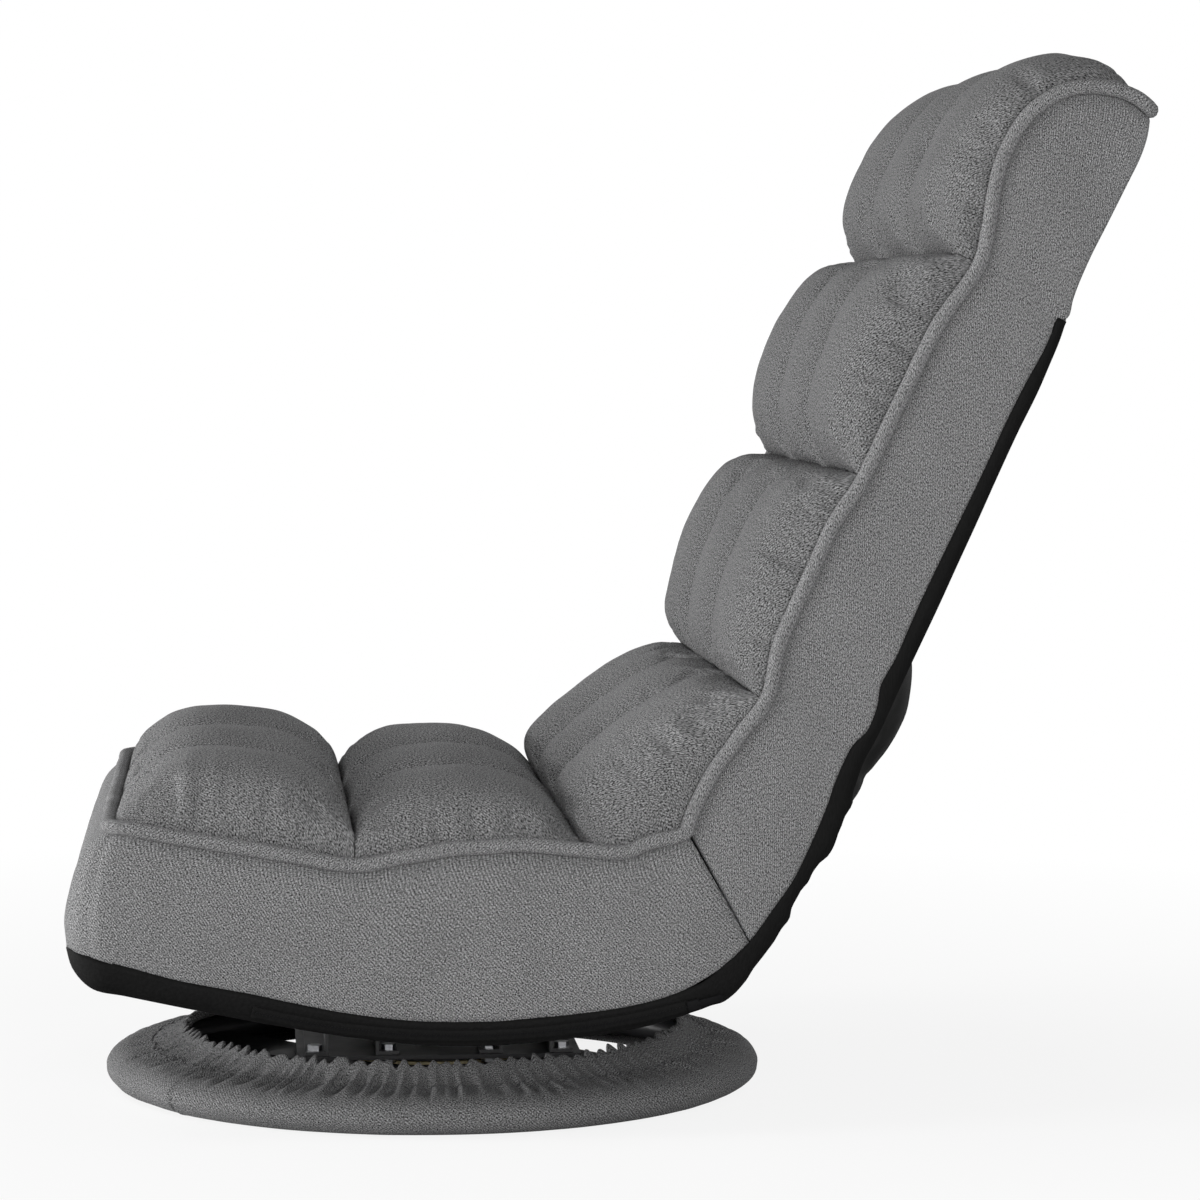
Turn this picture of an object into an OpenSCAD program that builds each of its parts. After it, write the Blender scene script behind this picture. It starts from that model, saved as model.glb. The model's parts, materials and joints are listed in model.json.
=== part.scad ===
// Swivel floor chair: padded folding seat and back on a turning ring base.
// Millimetres. The origin is on the floor, on the swivel axis. The sitter faces -X, +Z is up.

/* [Width and lean] */
// Width over the side panels
chair_w = 524; // [440:4:640]
// Lean of the backrest from the vertical
lean = 24.8; // [15:0.1:35]
// Distance of the recline axis behind the swivel axis
hinge_x = 208; // [200:1:216]
// Height of the recline axis
hinge_z = 152; // [150:1:158]

/* [Base ring] */
// Outer diameter of the padded ring
ring_d = 500; // [460:5:600]
// Width of the padded ring section
ring_pad_w = 48; // [42:1:60]
// Height of the padded ring section
ring_pad_h = 31; // [29:1:36]
// Diameter of the steel ring tube
ring_tube_d = 20; // [16:1:22]
// Thickness of the cover fabric
cover_t = 1.5; // [1:0.1:2]
// Gathers round the elastic hem
hem_gathers = 36; // [24:1:40]
// Height of a gather
hem_gather_h = 3; // [1:0.5:5]
// Diameter of the hem elastic
elastic_d = 2.4; // [2:0.1:3]
// Turn of the base from the chair's own front
base_turn = -52; // [-180:1:180]
// Width of a cross bar
bar_w = 36; // [24:1:44]
// Thickness of a cross bar
bar_t = 5; // [4:0.5:6]
// Distance between the two cross bars, centre to centre
bar_pitch = 108; // [90:1:120]

/* [Swivel unit] */
// Side of the lower bearing plate
lower_plate_w = 190; // [180:1:220]
// Side of the upper bearing plate
upper_plate_w = 212; // [206:1:240]
// Thickness of a bearing plate
plate_t = 3; // [2.5:0.1:4]
// Diameter of the ball circle
race_d = 150; // [130:1:156]
// Width of a raceway ring
race_w = 20; // [16:1:22]
// Height of a raceway ring
race_h = 5; // [4.5:0.1:6]
// Diameter of a bearing ball
ball_d = 9; // [8:0.5:10]
// Number of balls
ball_n = 16; // [8:1:24]
// Thickness of the ball cage
cage_t = 2; // [1:0.1:2.5]
// Diameter of the king pin
king_d = 14; // [10:0.5:20]
// Height of the hat-section risers
riser_h = 41; // [40:1:46]
// Width of a riser's top
riser_w = 40; // [30:1:44]
// Length of a riser
riser_l = 200; // [196:2:240]
// Sheet thickness of a riser
riser_t = 2.5; // [2:0.1:3]
// Distance of each riser from the swivel axis
riser_x = 65; // [62:1:66]

/* [Frame] */
// Diameter of the frame tubes
tube_d = 19; // [18:0.5:22]
// Wall of the frame tubes
tube_wall = 1.5; // [1:0.1:1.6]
// Distance of each side rail from the middle plane
rail_y = 205; // [170:1:225]
// Height of the lowest point of the rail's centre line
rail_z = 84; // [83:0.5:92]
// Bend radius of the side rails
rail_r = 400; // [380:5:420]
// Side of the square cross tubes
square_tube = 20; // [18:1:22]
// Width of a webbing strap
strap_w = 50; // [30:1:60]
// Thickness of a webbing strap
strap_t = 2; // [1.5:0.1:2.5]

/* [Ratchet hinge] */
// Tip radius of the toothed sector
gear_r = 19; // [18:0.1:20]
// Depth of a tooth
tooth_h = 1.8; // [1:0.1:2]
// Positions of the ratchet between upright and flat
ratchet_steps = 14; // [10:1:18]
// Position of the ratchet in the pose drawn, counted from upright
rest_step = 4; // [1:1:8]
// Thickness of the toothed sector and the pawl
gear_t = 4; // [3:0.1:4.6]
// Thickness of a cheek plate
cheek_t = 2.5; // [2:0.1:2.7]
// Diameter of the hinge rivet
rivet_d = 8; // [6:0.5:10]
// Diameter of the pawl pin
pawl_pin_d = 5; // [4:0.5:6]

/* [Seat] */
// Height of the foam deck under the seat pads
deck_z = 196; // [195:0.5:199]
// Lowest point of the underside
under_z = 68; // [64:1:70]
// Radius of the curved underside
under_r = 640; // [600:10:800]
// Radius of the round front
front_r = 74; // [70:0.5:78]
// Centre of the round front, distance ahead of the swivel axis
front_x = 203; // [198:1:208]
// Centre of the round front, height
front_z = 166; // [163:0.5:169]
// Radius of the front corners seen from above
corner_r = 34; // [20:1:50]
// Thickness of the side and front panels
panel_t = 2.5; // [1.5:0.1:3]
// Height of the black band round the bottom edge
band_h = 18; // [12:1:24]
// Length of the zip
zip_l = 310; // [200:5:340]
// Diameter of the piping
piping_d = 11; // [8:0.5:12]

/* [Backrest] */
// Depth of the back behind its foam deck
back_t = 91; // [86:1:96]
// Distance from the recline axis to the foam deck of the back
deck_in = 59; // [56:0.5:62]
// How much thinner the back is at its top
back_taper = 13; // [0:1:16]
// Distance along the back from the recline axis to the lumbar pads
lumbar_s = 154; // [150:1:160]
// Length of the lumbar pads along the back
lumbar_l = 173; // [140:1:190]
// Length of the middle pads along the back
middle_l = 172; // [140:1:190]
// Length of the straight part of the head pads
head_l = 100; // [80:1:120]
// Radius of the round top
top_r = 50; // [46:1:54]
// Height along the back where the black lining ends
lining_end = 487; // [420:1:520]

/* [Pads] */
// Columns of pads across the width
columns = 3; // [2:1:4]
// Depth of the first row of seat pads
front_row_l = 165; // [150:1:175]
// Crown of the first row of seat pads
front_crown = 82; // [50:1:90]
// Crown of the second row of seat pads
rear_crown = 64; // [40:1:75]
// Crown of the crook pads
crook_crown = 50; // [30:1:58]
// Crown of the lumbar pads
lumbar_crown = 53; // [30:1:60]
// Crown of the middle pads
middle_crown = 53; // [30:1:60]
// Crown of the head pads
head_crown = 45; // [30:1:52]

/* [Clearances] */
// Gap between soft pieces
soft_gap = 0.3; // [0.2:0.1:0.6]
// Radial clearance of a running pin
run_gap = 0.05; // [0.02:0.01:0.1]
// Side clearance between hinge plates
side_gap = 0.2; // [0.1:0.05:0.4]

/* [Hidden] */
$fn = 64;
ratchet_pitch = 90/ratchet_steps;
half_w = chair_w/2;
pad_half_w = half_w - piping_d/2 - 3;
piping_y = half_w - 2.5;
// Heights of the swivel unit, from the floor up
ring_z = ring_pad_h/2 - 0.5;
bar_z = ring_z - 3.5;
lower_z = bar_z + bar_t;
race_gap = ball_d - 5;
race_z = lower_z + plate_t + race_h;
upper_z = race_z + race_gap + race_h;
riser_z = upper_z + plate_t;
frame_z = riser_z + riser_h;
ring_r = ring_d/2 - ring_pad_w/2;
ball_z = race_z + race_gap/2;
king_head_d = king_d + 14;
king_head_h = 4;
strap_lift = 0.1 + strap_w*strap_w/8/(rail_r - tube_d/2);
tray_top = tube_d/2 + strap_lift + strap_t + soft_gap;
// Metric fasteners
bolt_d = 6;
bolt_head_d = 11;
bolt_head_h = 4;
nut_h = 5;
base_bolt_y = 75;
foot_w = 15;
foot_bolt_y = race_d/2 + 15;
seat_bolt_y = 60;
// The underside is an arc about this point
under_x = 15;
under_c = under_z + under_r;
rail_x = under_x - 29;
rail_front_a = 31;
rail_end_x = hinge_x - 34.2;
rail_rear_a = asin((rail_end_x - rail_x)/rail_r);
rail_end_z = rail_z + rail_r*(1 - cos(rail_rear_a));
front_tube_x = rail_x - rail_r*sin(rail_front_a);
front_tube_z = rail_z + rail_r*(1 - cos(rail_front_a));
rear_tube_a = 23;
// Planes through the recline axis that bound what folds, as angles from +X in the side view
seat_upper_a = 140;
seat_lower_a = 250;
back_upper_a = 90;
back_lower_a = -30;
fold_gap = 1.5;
hinge_clear_r = gear_r + 5;
hinge_clear_w = 2*cheek_t + gear_t + 10;
// Pawl, seen from the side
pawl_a = 205;
pawl_pivot_a = 235;
pawl_pivot_r = gear_r + 12;
pawl_lift = 7;
pawl_x = hinge_x + pawl_pivot_r*cos(pawl_pivot_a);
pawl_z = hinge_z + pawl_pivot_r*sin(pawl_pivot_a);
// Backrest, measured from the recline axis: s runs up the back, d towards its rear
rear_in = back_t - deck_in;
pad_in = deck_in - panel_t;
rear_top_d = rear_in - back_taper;
middle_s = lumbar_s + lumbar_l;
head_s = middle_s + middle_l;
top_s = head_s + head_l;
top_d = top_r - deck_in;
rear_top_a = acos((rear_top_d - top_d)/top_r);
rear_top_s = top_s + top_r*sin(rear_top_a);
back_rail_s = 47;
back_rail_end = top_s - 20;
// Side view of the piping: the seat from its front corner, the crook, then the back
seat_pipe = [[-239, 228], [-205, 219], [-175, 213], [-120, 205], [-67, 202], [-40, 207],
    [-14, 212], [30, 211], [78, 209], [110, 207], [135, 206]];
crook_pipe = [[150, 209], [166, 214], [174, 220], [178, 238], [188, 261], [203, 280.6]];
pad_front_x = -232;
row_crease_x = pad_front_x + front_row_l;
seat_row_end = 104;
crook_start = [seat_row_end + 2, deck_z + soft_gap];
crook_end = back_point(lumbar_s - soft_gap/2, -pad_in);

// Points on an arc in a plane, from angle a0 to a1 in n steps
function arc(c, r, a0, a1, n) =
    [for (i = [0:n]) let (a = a0 + (a1 - a0)*i/n) [c[0] + r*cos(a), c[1] + r*sin(a)]];

// Point of the recline axis' frame, s up the back and d to its rear, seen from the side
function back_point(s, d) =
    [hinge_x + s*sin(lean) + d*cos(lean), hinge_z + s*cos(lean) - d*sin(lean)];

// Bottom edge of the seat at distance x, a given height of fabric above the underside
function under_edge(x, up) =
    under_c - sqrt(pow(under_r - up, 2) - pow(x - under_x, 2));

// A superelliptic crown over t = 0 to 1
function crown(t, e) = sqrt(max(0, 1 - pow(abs(2*t - 1), e)));

// Height of a tufted row at u along it and w across it, both 0 to 1
function tuft(u, w, high, start, end) =
    let (
        t = w*columns - floor(min(w*columns, columns - 0.0001)),
        col = 0.52 + 0.48*crown(t, 2.6),
        side = crown(w, 14),
        edge = start + (end - start)*u
    )
    edge + (high - edge)*crown(u, 2.7)*(side > 0 ? col*(0.35 + 0.65*side) : 0.18);

// Turns a drawing in the side view into a slab along Y, centred on y
module slab(width, y = 0) {
    translate([0, y + width/2, 0]) rotate([90, 0, 0]) linear_extrude(width) children();
}

// Places a piece drawn about the recline axis: +Z up the back, +X to its rear
module on_back() {
    translate([hinge_x, 0, hinge_z]) rotate([0, lean, 0]) children();
}

// A wedge of the side view about the recline axis, between two angles
module wedge(a0, a1, reach = 900) {
    translate([hinge_x, hinge_z])
        polygon(concat([[0, 0]], arc([0, 0], reach, a0, a1, 6)));
}

// A bent tube, hollow and open at its ends
module bent_tube(c, r, a0, a1, y, d, wall) {
    translate([c[0], y, c[1]]) rotate([90, 0, 0]) rotate([0, 0, a0])
        rotate_extrude(angle = a1 - a0, $fn = 180) translate([r, 0]) difference() {
            circle(d = d, $fn = 48);
            circle(d = d - 2*wall, $fn = 48);
        }
}

// A straight hollow tube along +Z
module pipe(d, wall, l) {
    difference() {
        cylinder(d = d, h = l);
        translate([0, 0, -1]) cylinder(d = d - 2*wall, h = l + 2);
    }
}

// A hexagon-head bolt that points up, its head below z = 0
module bolt(l) {
    translate([0, 0, -bolt_head_h]) cylinder(d = bolt_head_d, h = bolt_head_h, $fn = 6);
    cylinder(d = bolt_d, h = l, $fn = 32);
}

// A nut that stands on z = 0
module nut() {
    difference() {
        cylinder(d = bolt_head_d, h = nut_h, $fn = 6);
        translate([0, 0, -1]) cylinder(d = bolt_d + 2*run_gap, h = nut_h + 2, $fn = 32);
    }
}

// A round tube swept along 3-D points, closed at its ends
module sweep(path, d, sides = 6) {
    n = len(path);
    function dir(i) =
        let (a = path[max(i - 1, 0)], b = path[min(i + 1, n - 1)]) (b - a)/norm(b - a);
    pts = [for (i = [0:n - 1])
        let (
            t = dir(i),
            ref = abs(t[1]) > 0.9 ? [0, 0, 1] : [0, 1, 0],
            u0 = cross(t, ref),
            u = u0/norm(u0),
            v = cross(t, u)
        )
        for (k = [0:sides - 1])
            path[i] + d/2*(cos(360*k/sides)*u + sin(360*k/sides)*v)];
    walls = [for (i = [0:n - 2], k = [0:sides - 1])
        let (a = i*sides + k, b = i*sides + (k + 1)%sides)
        each [[a, b, a + sides], [b, b + sides, a + sides]]];
    cap0 = [for (k = [1:sides - 2]) [0, k + 1, k]];
    last = (n - 1)*sides;
    cap1 = [for (k = [1:sides - 2]) [last, last + k, last + k + 1]];
    polyhedron(points = pts, faces = concat(walls, cap0, cap1), convexity = 6);
}

// A closed tufted row. deck and out give, for u = 0 to 1, a point and its outward normal
// in the side view, and foot the points that the row stands on.
module tufted_row(deck, out, high, start, end, foot, nu = 9, nw = 21) {
    w0 = -pad_half_w;
    cols = nw + 1;
    top = [for (i = [0:nu], j = [0:nw])
        let (p = deck[i], q = out[i], h = tuft(i/nu, j/nw, high, start, end))
        [p[0] + q[0]*h, w0 + 2*pad_half_w*j/nw, p[1] + q[1]*h]];
    base = [for (i = [0:nu], j = [0:nw])
        [foot[i][0], w0 + 2*pad_half_w*j/nw, foot[i][1]]];
    m = len(top);
    sheet = [for (i = [0:nu - 1], j = [0:nw - 1])
        let (a = i*cols + j)
        each [[a, a + cols, a + 1], [a + 1, a + cols, a + cols + 1],
            [m + a, m + a + 1, m + a + cols], [m + a + 1, m + a + cols + 1, m + a + cols]]];
    sides = [for (i = [0:nu - 1])
        let (a = i*cols, b = i*cols + nw)
        each [[a, m + a, a + cols], [a + cols, m + a, m + a + cols],
            [b, b + cols, m + b], [b + cols, m + b + cols, m + b]]];
    ends = [for (j = [0:nw - 1])
        let (a = j, b = nu*cols + j)
        each [[a, a + 1, m + a], [a + 1, m + a + 1, m + a],
            [b, m + b, b + 1], [b + 1, m + b, m + b + 1]]];
    polyhedron(points = concat(top, base), faces = concat(sheet, sides, ends), convexity = 6);
}

// Straight deck between two points of the side view, and its normals
function line_deck(a, b, n = 9) = [for (i = [0:n]) a + (b - a)*i/n];
function line_out(a, b, n = 9) =
    let (t = (b - a)/norm(b - a)) [for (i = [0:n]) [-t[1], t[0]]];

// Side view of the whole seat, drawn in by inset on its outer side
module seat_shape(inset, top_z) {
    xa = -front_x + (front_r - inset)*cos(216);
    nose = -front_x + (front_r - inset)*cos(129);
    polygon(concat(
        [[160, top_z], [nose + 4, top_z]],
        arc([-front_x, front_z], front_r - inset, 129, 216, 14),
        [for (x = [xa + 12:13:190]) [x, under_edge(x, inset)]],
        [[200, under_edge(200, inset)], [hinge_x, hinge_z]]));
}

// A slab cut to the seat's side of the fold, with its front corners rounded
module seat_outline(inset) {
    w = half_w - inset;
    r = corner_r - inset;
    x0 = -front_x - front_r + inset;
    difference() {
        intersection() {
            slab(2*w) children();
            slab(2*w) wedge(seat_upper_a, seat_lower_a);
            translate([0, 0, under_z - 20]) linear_extrude(220) {
                translate([x0 + r, -w]) square([300 - x0, 2*w]);
                translate([x0, -w + r]) square([r + 1, 2*w - 2*r]);
                for (y = [-w + r, w - r]) translate([x0 + r, y]) circle(r);
            }
        }
        slab(2*chair_w) translate([hinge_x, hinge_z]) circle(fold_gap);
    }
}

module seat_solid(inset, top_z) {
    seat_outline(inset) seat_shape(inset, top_z);
}

// What the seat's fabric shell and foam are cut from
module seat_shell(t) {
    difference() {
        seat_solid(0, 240);
        seat_solid(t, 260);
        slab(2*(half_w - t)) wedge(130, 260, 120);
    }
}

// Side view above the piping line of the seat, at the height of the seam under the piping
module above_pipe() {
    drop = piping_d/2 + 0.4;
    polygon(concat(
        [[-400, 400], [-400, seat_pipe[0][1] - drop]],
        [for (p = seat_pipe) [p[0], p[1] - drop]],
        [[160, 205], [160, 400]]));
}

// Side view of everything below the grey and black seam
module below_band(up) {
    polygon(concat(
        [[-400, 0], [-400, under_edge(-280, up)]],
        [for (x = [-280:20:200]) [x, under_edge(x, up)]],
        [[300, under_edge(200, up)], [300, 0]]));
}

module base_ring_tube() color("#2b2b2d")
    translate([0, 0, ring_z]) rotate_extrude($fn = 180) translate([ring_r, 0]) difference() {
        circle(d = ring_tube_d, $fn = 48);
        circle(d = ring_tube_d - 2*tube_wall, $fn = 48);
    }

// One flat bar, in the turned frame of the base
module flat_bar(y, w, grow = 0) {
    reach = sqrt(pow(ring_r - ring_tube_d/2 - 0.3, 2) - pow(abs(y) + w/2, 2));
    translate([-reach - grow*10, y - w/2 - grow, bar_z - grow])
        cube([2*reach + grow*20, w + 2*grow, bar_t + 2*grow]);
}

module base_cross_bars() color("#1f1f21") rotate([0, 0, base_turn])
    for (side = [-1, 1]) difference() {
        flat_bar(side*bar_pitch/2, bar_w);
        for (y = [-base_bolt_y, base_bolt_y])
            translate([y, side*bar_pitch/2, bar_z - 1])
                cylinder(d = bolt_d + 2*run_gap, h = bar_t + 2, $fn = 32);
    }

// Section of the padded ring, flat where it stands
module ring_section(inset) {
    w = ring_pad_w/2 - inset;
    h = ring_pad_h/2 - inset;
    intersection() {
        scale([w/h, 1]) circle(h, $fn = 48);
        translate([-w - 1, -h + (inset > 0 ? 0 : 0.5)]) square([2*w + 2, 2*h + 1]);
    }
}

module base_ring_foam() color("#d8d4c4") difference() {
    translate([0, 0, ring_z]) rotate_extrude($fn = 180) translate([ring_r, 0]) difference() {
        ring_section(cover_t + soft_gap + 1.6);
        circle(d = ring_tube_d + 0.2, $fn = 48);
    }
    rotate([0, 0, base_turn]) for (side = [-1, 1])
        flat_bar(side*bar_pitch/2, bar_w, 0.5);
}

// Gathered sleeve, open along the inside of the ring where the bars come in
module base_ring_cover() {
    steps = 2*hem_gathers;
    w = ring_pad_w/2;
    h = ring_pad_h/2;
    flat = -h + 0.5;
    outer_a = [142, 108, 74, 40, 6, -30, -76];
    inner_a = [-76, -30, 6, 40, 74, 108, 142];
    skin = [for (a = outer_a) [w*cos(a), max(flat, h*sin(a))]];
    lining = [for (a = inner_a)
        [(w - cover_t)*cos(a), max(flat + cover_t, (h - cover_t)*sin(a))]];
    foot = [[-w*0.62, flat], [-w*0.62, flat + cover_t]];
    sec = concat(skin, foot, lining);
    k = len(sec);
    // The hem points rise and fall, and the next ones half as much
    function wave(j, i) =
        (i%2 == 0 ? hem_gather_h : 0)*(j == 0 || j == k - 1 ? 1 : j == 1 || j == k - 2 ? 0.5 : 0);
    pts = [for (i = [0:steps - 1], j = [0:k - 1])
        let (a = 360*i/steps, r = ring_r + sec[j][0] - 0.6*wave(j, i))
        [r*cos(a), r*sin(a), ring_z + sec[j][1] + wave(j, i)]];
    faces = [for (i = [0:steps - 1], j = [0:k - 1])
        let (a = i*k + j, b = i*k + (j + 1)%k, c = ((i + 1)%steps)*k + j,
            d = ((i + 1)%steps)*k + (j + 1)%k)
        each [[a, b, c], [b, d, c]]];
    color("#77787a") polyhedron(points = pts, faces = faces, convexity = 6);
}

module base_hem_elastic() color("#e8e8e8") {
    translate([0, 0, ring_z + 0.52*ring_pad_h/2])
        rotate_extrude($fn = 180) translate([ring_r - 0.83*ring_pad_w/2, 0])
            circle(d = elastic_d, $fn = 24);
}

// A ring with a groove for the balls in its upper face
module raceway(up) {
    rotate_extrude($fn = 180) difference() {
        translate([race_d/2 - race_w/2, 0]) square([race_w, race_h]);
        translate([race_d/2, up]) circle(d = ball_d + 2*run_gap, $fn = 48);
    }
}

module swivel_lower_plate() color("#b8babd") {
    w = lower_plate_w;
    difference() {
        rotate([0, 0, base_turn]) translate([-w/2, -w/2, lower_z]) cube([w, w, plate_t]);
        translate([0, 0, lower_z - 1]) cylinder(d = king_d + 2*run_gap, h = plate_t + 2);
        rotate([0, 0, base_turn]) for (x = [-base_bolt_y, base_bolt_y], side = [-1, 1])
            translate([x, side*bar_pitch/2, lower_z - 1])
                cylinder(d = bolt_d + 2*run_gap, h = plate_t + 2, $fn = 32);
    }
    translate([0, 0, lower_z + plate_t]) raceway(race_h + race_gap/2);
}

module base_bolts() color("#8d8f92") rotate([0, 0, base_turn])
    for (x = [-base_bolt_y, base_bolt_y], side = [-1, 1])
        translate([x, side*bar_pitch/2, bar_z]) bolt(bar_t + plate_t + nut_h);

module base_nuts() color("#8d8f92") rotate([0, 0, base_turn])
    for (x = [-base_bolt_y, base_bolt_y], side = [-1, 1])
        translate([x, side*bar_pitch/2, lower_z + plate_t]) nut();

module king_pin() color("#8d8f92") {
    translate([0, 0, lower_z - king_head_h]) cylinder(d = king_head_d, h = king_head_h);
    translate([0, 0, lower_z]) cylinder(d = king_d, h = riser_z + 0.3 - lower_z);
    translate([0, 0, riser_z + 0.3]) cylinder(d = king_head_d, h = king_head_h);
}

module ball_cage() color("#d9c48a") difference() {
    translate([0, 0, ball_z - cage_t/2]) rotate_extrude($fn = 180)
        translate([race_d/2 - race_w/2, 0]) square([race_w, cage_t]);
    for (i = [0:ball_n - 1]) rotate([0, 0, 360*i/ball_n]) translate([race_d/2, 0, ball_z - 5])
        cylinder(d = ball_d + 0.2, h = 10, $fn = 48);
}

module bearing_balls() color("#c9ccd0")
    for (i = [0:ball_n - 1]) rotate([0, 0, 360*i/ball_n])
        translate([race_d/2, 0, ball_z]) sphere(d = ball_d, $fn = 48);

// Places of the screws in the risers' feet
module at_feet() {
    for (side = [-1, 1], foot = [-1, 1], y = [-foot_bolt_y, foot_bolt_y])
        translate([side*riser_x + foot*(riser_w/2 + foot_w/2), y, 0]) children();
}

module swivel_upper_plate() color("#b8babd") {
    w = upper_plate_w;
    difference() {
        translate([-w/2, -w/2, upper_z]) cube([w, w, plate_t]);
        translate([0, 0, upper_z - 1]) cylinder(d = king_d + 2*run_gap, h = plate_t + 2);
        at_feet() translate([0, 0, upper_z - 1])
            cylinder(d = bolt_d + 2*run_gap, h = plate_t + 2, $fn = 32);
    }
    translate([0, 0, upper_z]) mirror([0, 0, 1]) raceway(race_h + race_gap/2);
}

module seat_risers() color("#1f1f21") for (side = [-1, 1]) difference() {
    w = riser_w/2;
    t = riser_t;
    translate([side*riser_x, 0, riser_z]) slab(riser_l) polygon([
        [-w - foot_w, 0], [-w + t, 0], [-w + t, riser_h - t], [w - t, riser_h - t],
        [w - t, 0], [w + foot_w, 0], [w + foot_w, t], [w, t], [w, riser_h],
        [-w, riser_h], [-w, t], [-w - foot_w, t]]);
    at_feet() translate([0, 0, riser_z - 1]) cylinder(d = bolt_d + 2*run_gap, h = 6, $fn = 32);
    for (y = [-seat_bolt_y, seat_bolt_y]) translate([side*riser_x, y, frame_z - 6])
        cylinder(d = bolt_d + 2*run_gap, h = 10, $fn = 32);
}

// Screws point down through the feet and the plate
module riser_screws() color("#8d8f92") at_feet()
    translate([0, 0, riser_z + riser_t]) mirror([0, 0, 1]) bolt(riser_t + plate_t + nut_h);

module riser_nuts() color("#8d8f92") at_feet() translate([0, 0, upper_z - nut_h]) nut();

module at_seat_bolts() {
    for (x = [-riser_x, riser_x], y = [-seat_bolt_y, seat_bolt_y]) translate([x, y, 0]) children();
}

module seat_bolts() color("#8d8f92") at_seat_bolts()
    translate([0, 0, frame_z - riser_t]) bolt(riser_t + square_tube + nut_h);

module seat_nuts() color("#8d8f92") at_seat_bolts() translate([0, 0, frame_z + square_tube]) nut();

module seat_cross_tubes() color("#1f1f21") {
    l = 2*rail_y - tube_d;
    q = square_tube;
    for (x = [-riser_x, riser_x]) difference() {
        translate([x - q/2, -l/2, frame_z]) cube([q, l, q]);
        translate([x - q/2 + tube_wall, -l/2 - 1, frame_z + tube_wall])
            cube([q - 2*tube_wall, l + 2, q - 2*tube_wall]);
        for (y = [-seat_bolt_y, seat_bolt_y]) translate([x, y, frame_z - 1])
            cylinder(d = bolt_d + 2*run_gap, h = q + 2, $fn = 32);
    }
}

module seat_side_rails() color("#1f1f21") for (y = [-rail_y, rail_y])
    bent_tube([rail_x, rail_z + rail_r], rail_r,
        -90 - rail_front_a + (tube_d/2 + 0.3)/rail_r*180/PI, -90 + rail_rear_a,
        y, tube_d, tube_wall);

module seat_front_tube() color("#1f1f21")
    translate([front_tube_x, -rail_y - tube_d/2, front_tube_z]) rotate([-90, 0, 0])
        pipe(tube_d, tube_wall, 2*rail_y + tube_d);

module seat_rear_tube() color("#1f1f21") {
    l = 2*rail_y - tube_d;
    translate([rail_x + rail_r*sin(rear_tube_a), -l/2, rail_z + rail_r*(1 - cos(rear_tube_a))])
        rotate([-90, 0, 0]) pipe(tube_d, tube_wall, l);
}

// Straps that lie across the rails
module seat_webbing() color("#3a3a3c") for (x = [-190, -125, 0, 112]) {
    a = asin((x - rail_x)/rail_r);
    translate([x, 0, rail_z + rail_r*(1 - cos(a))]) rotate([0, -a, 0])
        translate([-strap_w/2, -rail_y - tube_d/2, tube_d/2 + strap_lift])
            cube([strap_w, 2*rail_y + tube_d, strap_t]);
}

// Side view of one cheek: a disc at the axis, a lobe at the pawl, an arm into the rail
module cheek_arm() {
    t = [cos(rail_rear_a), sin(rail_rear_a)];
    n = [-t[1], t[0]];
    e = [rail_end_x, rail_end_z];
    polygon([e - 22*t + 5*n, e - 22*t - 5*n, e + 1*t - 5*n, e + 8*t - 10*n,
        [hinge_x, hinge_z] - 10*n, [hinge_x, hinge_z] + 10*n, e + 8*t + 10*n, e + 1*t + 5*n]);
}

module hinge_cheeks() color("#4a4b4e") for (y = [-rail_y, rail_y], side = [-1, 1]) {
    mid = y + side*(gear_t/2 + side_gap + cheek_t/2);
    difference() {
        union() {
            slab(cheek_t, mid) cheek_arm();
            slab(cheek_t, mid) translate([hinge_x, hinge_z]) circle(gear_r + 2.5);
            slab(cheek_t, mid) translate([pawl_x, pawl_z]) circle(8);
        }
        slab(cheek_t + 2, mid) translate([hinge_x, hinge_z]) circle(d = rivet_d + 2*run_gap);
        slab(cheek_t + 2, mid) translate([pawl_x, pawl_z]) circle(d = pawl_pin_d + 2*run_gap);
    }
}

// A headed pin along Y through both cheeks
module hinge_pin(x, z, d, y) {
    l = gear_t + 2*side_gap + 2*cheek_t;
    translate([x, y, z]) rotate([-90, 0, 0]) {
        translate([0, 0, -l/2]) cylinder(d = d, h = l);
        translate([0, 0, -l/2 - 2]) cylinder(d = d + 5, h = 2);
        translate([0, 0, l/2]) cylinder(d = d + 5, h = 2);
    }
}

module hinge_rivets() color("#8d8f92") for (y = [-rail_y, rail_y])
    hinge_pin(hinge_x, hinge_z, rivet_d, y);

module pawl_pins() color("#8d8f92") for (y = [-rail_y, rail_y])
    hinge_pin(pawl_x, pawl_z, pawl_pin_d, y);

// Point of the pawl: radius from the gear's edge and angle about the recline axis when
// engaged, turned about the pawl's pin to its lifted place
function pawl_point(r, a, turn = pawl_lift) =
    let (d = [hinge_x + (gear_r + r)*cos(a) - pawl_x, hinge_z + (gear_r + r)*sin(a) - pawl_z])
    [pawl_x + d[0]*cos(turn) - d[1]*sin(turn), pawl_z + d[0]*sin(turn) + d[1]*cos(turn)];

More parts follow.
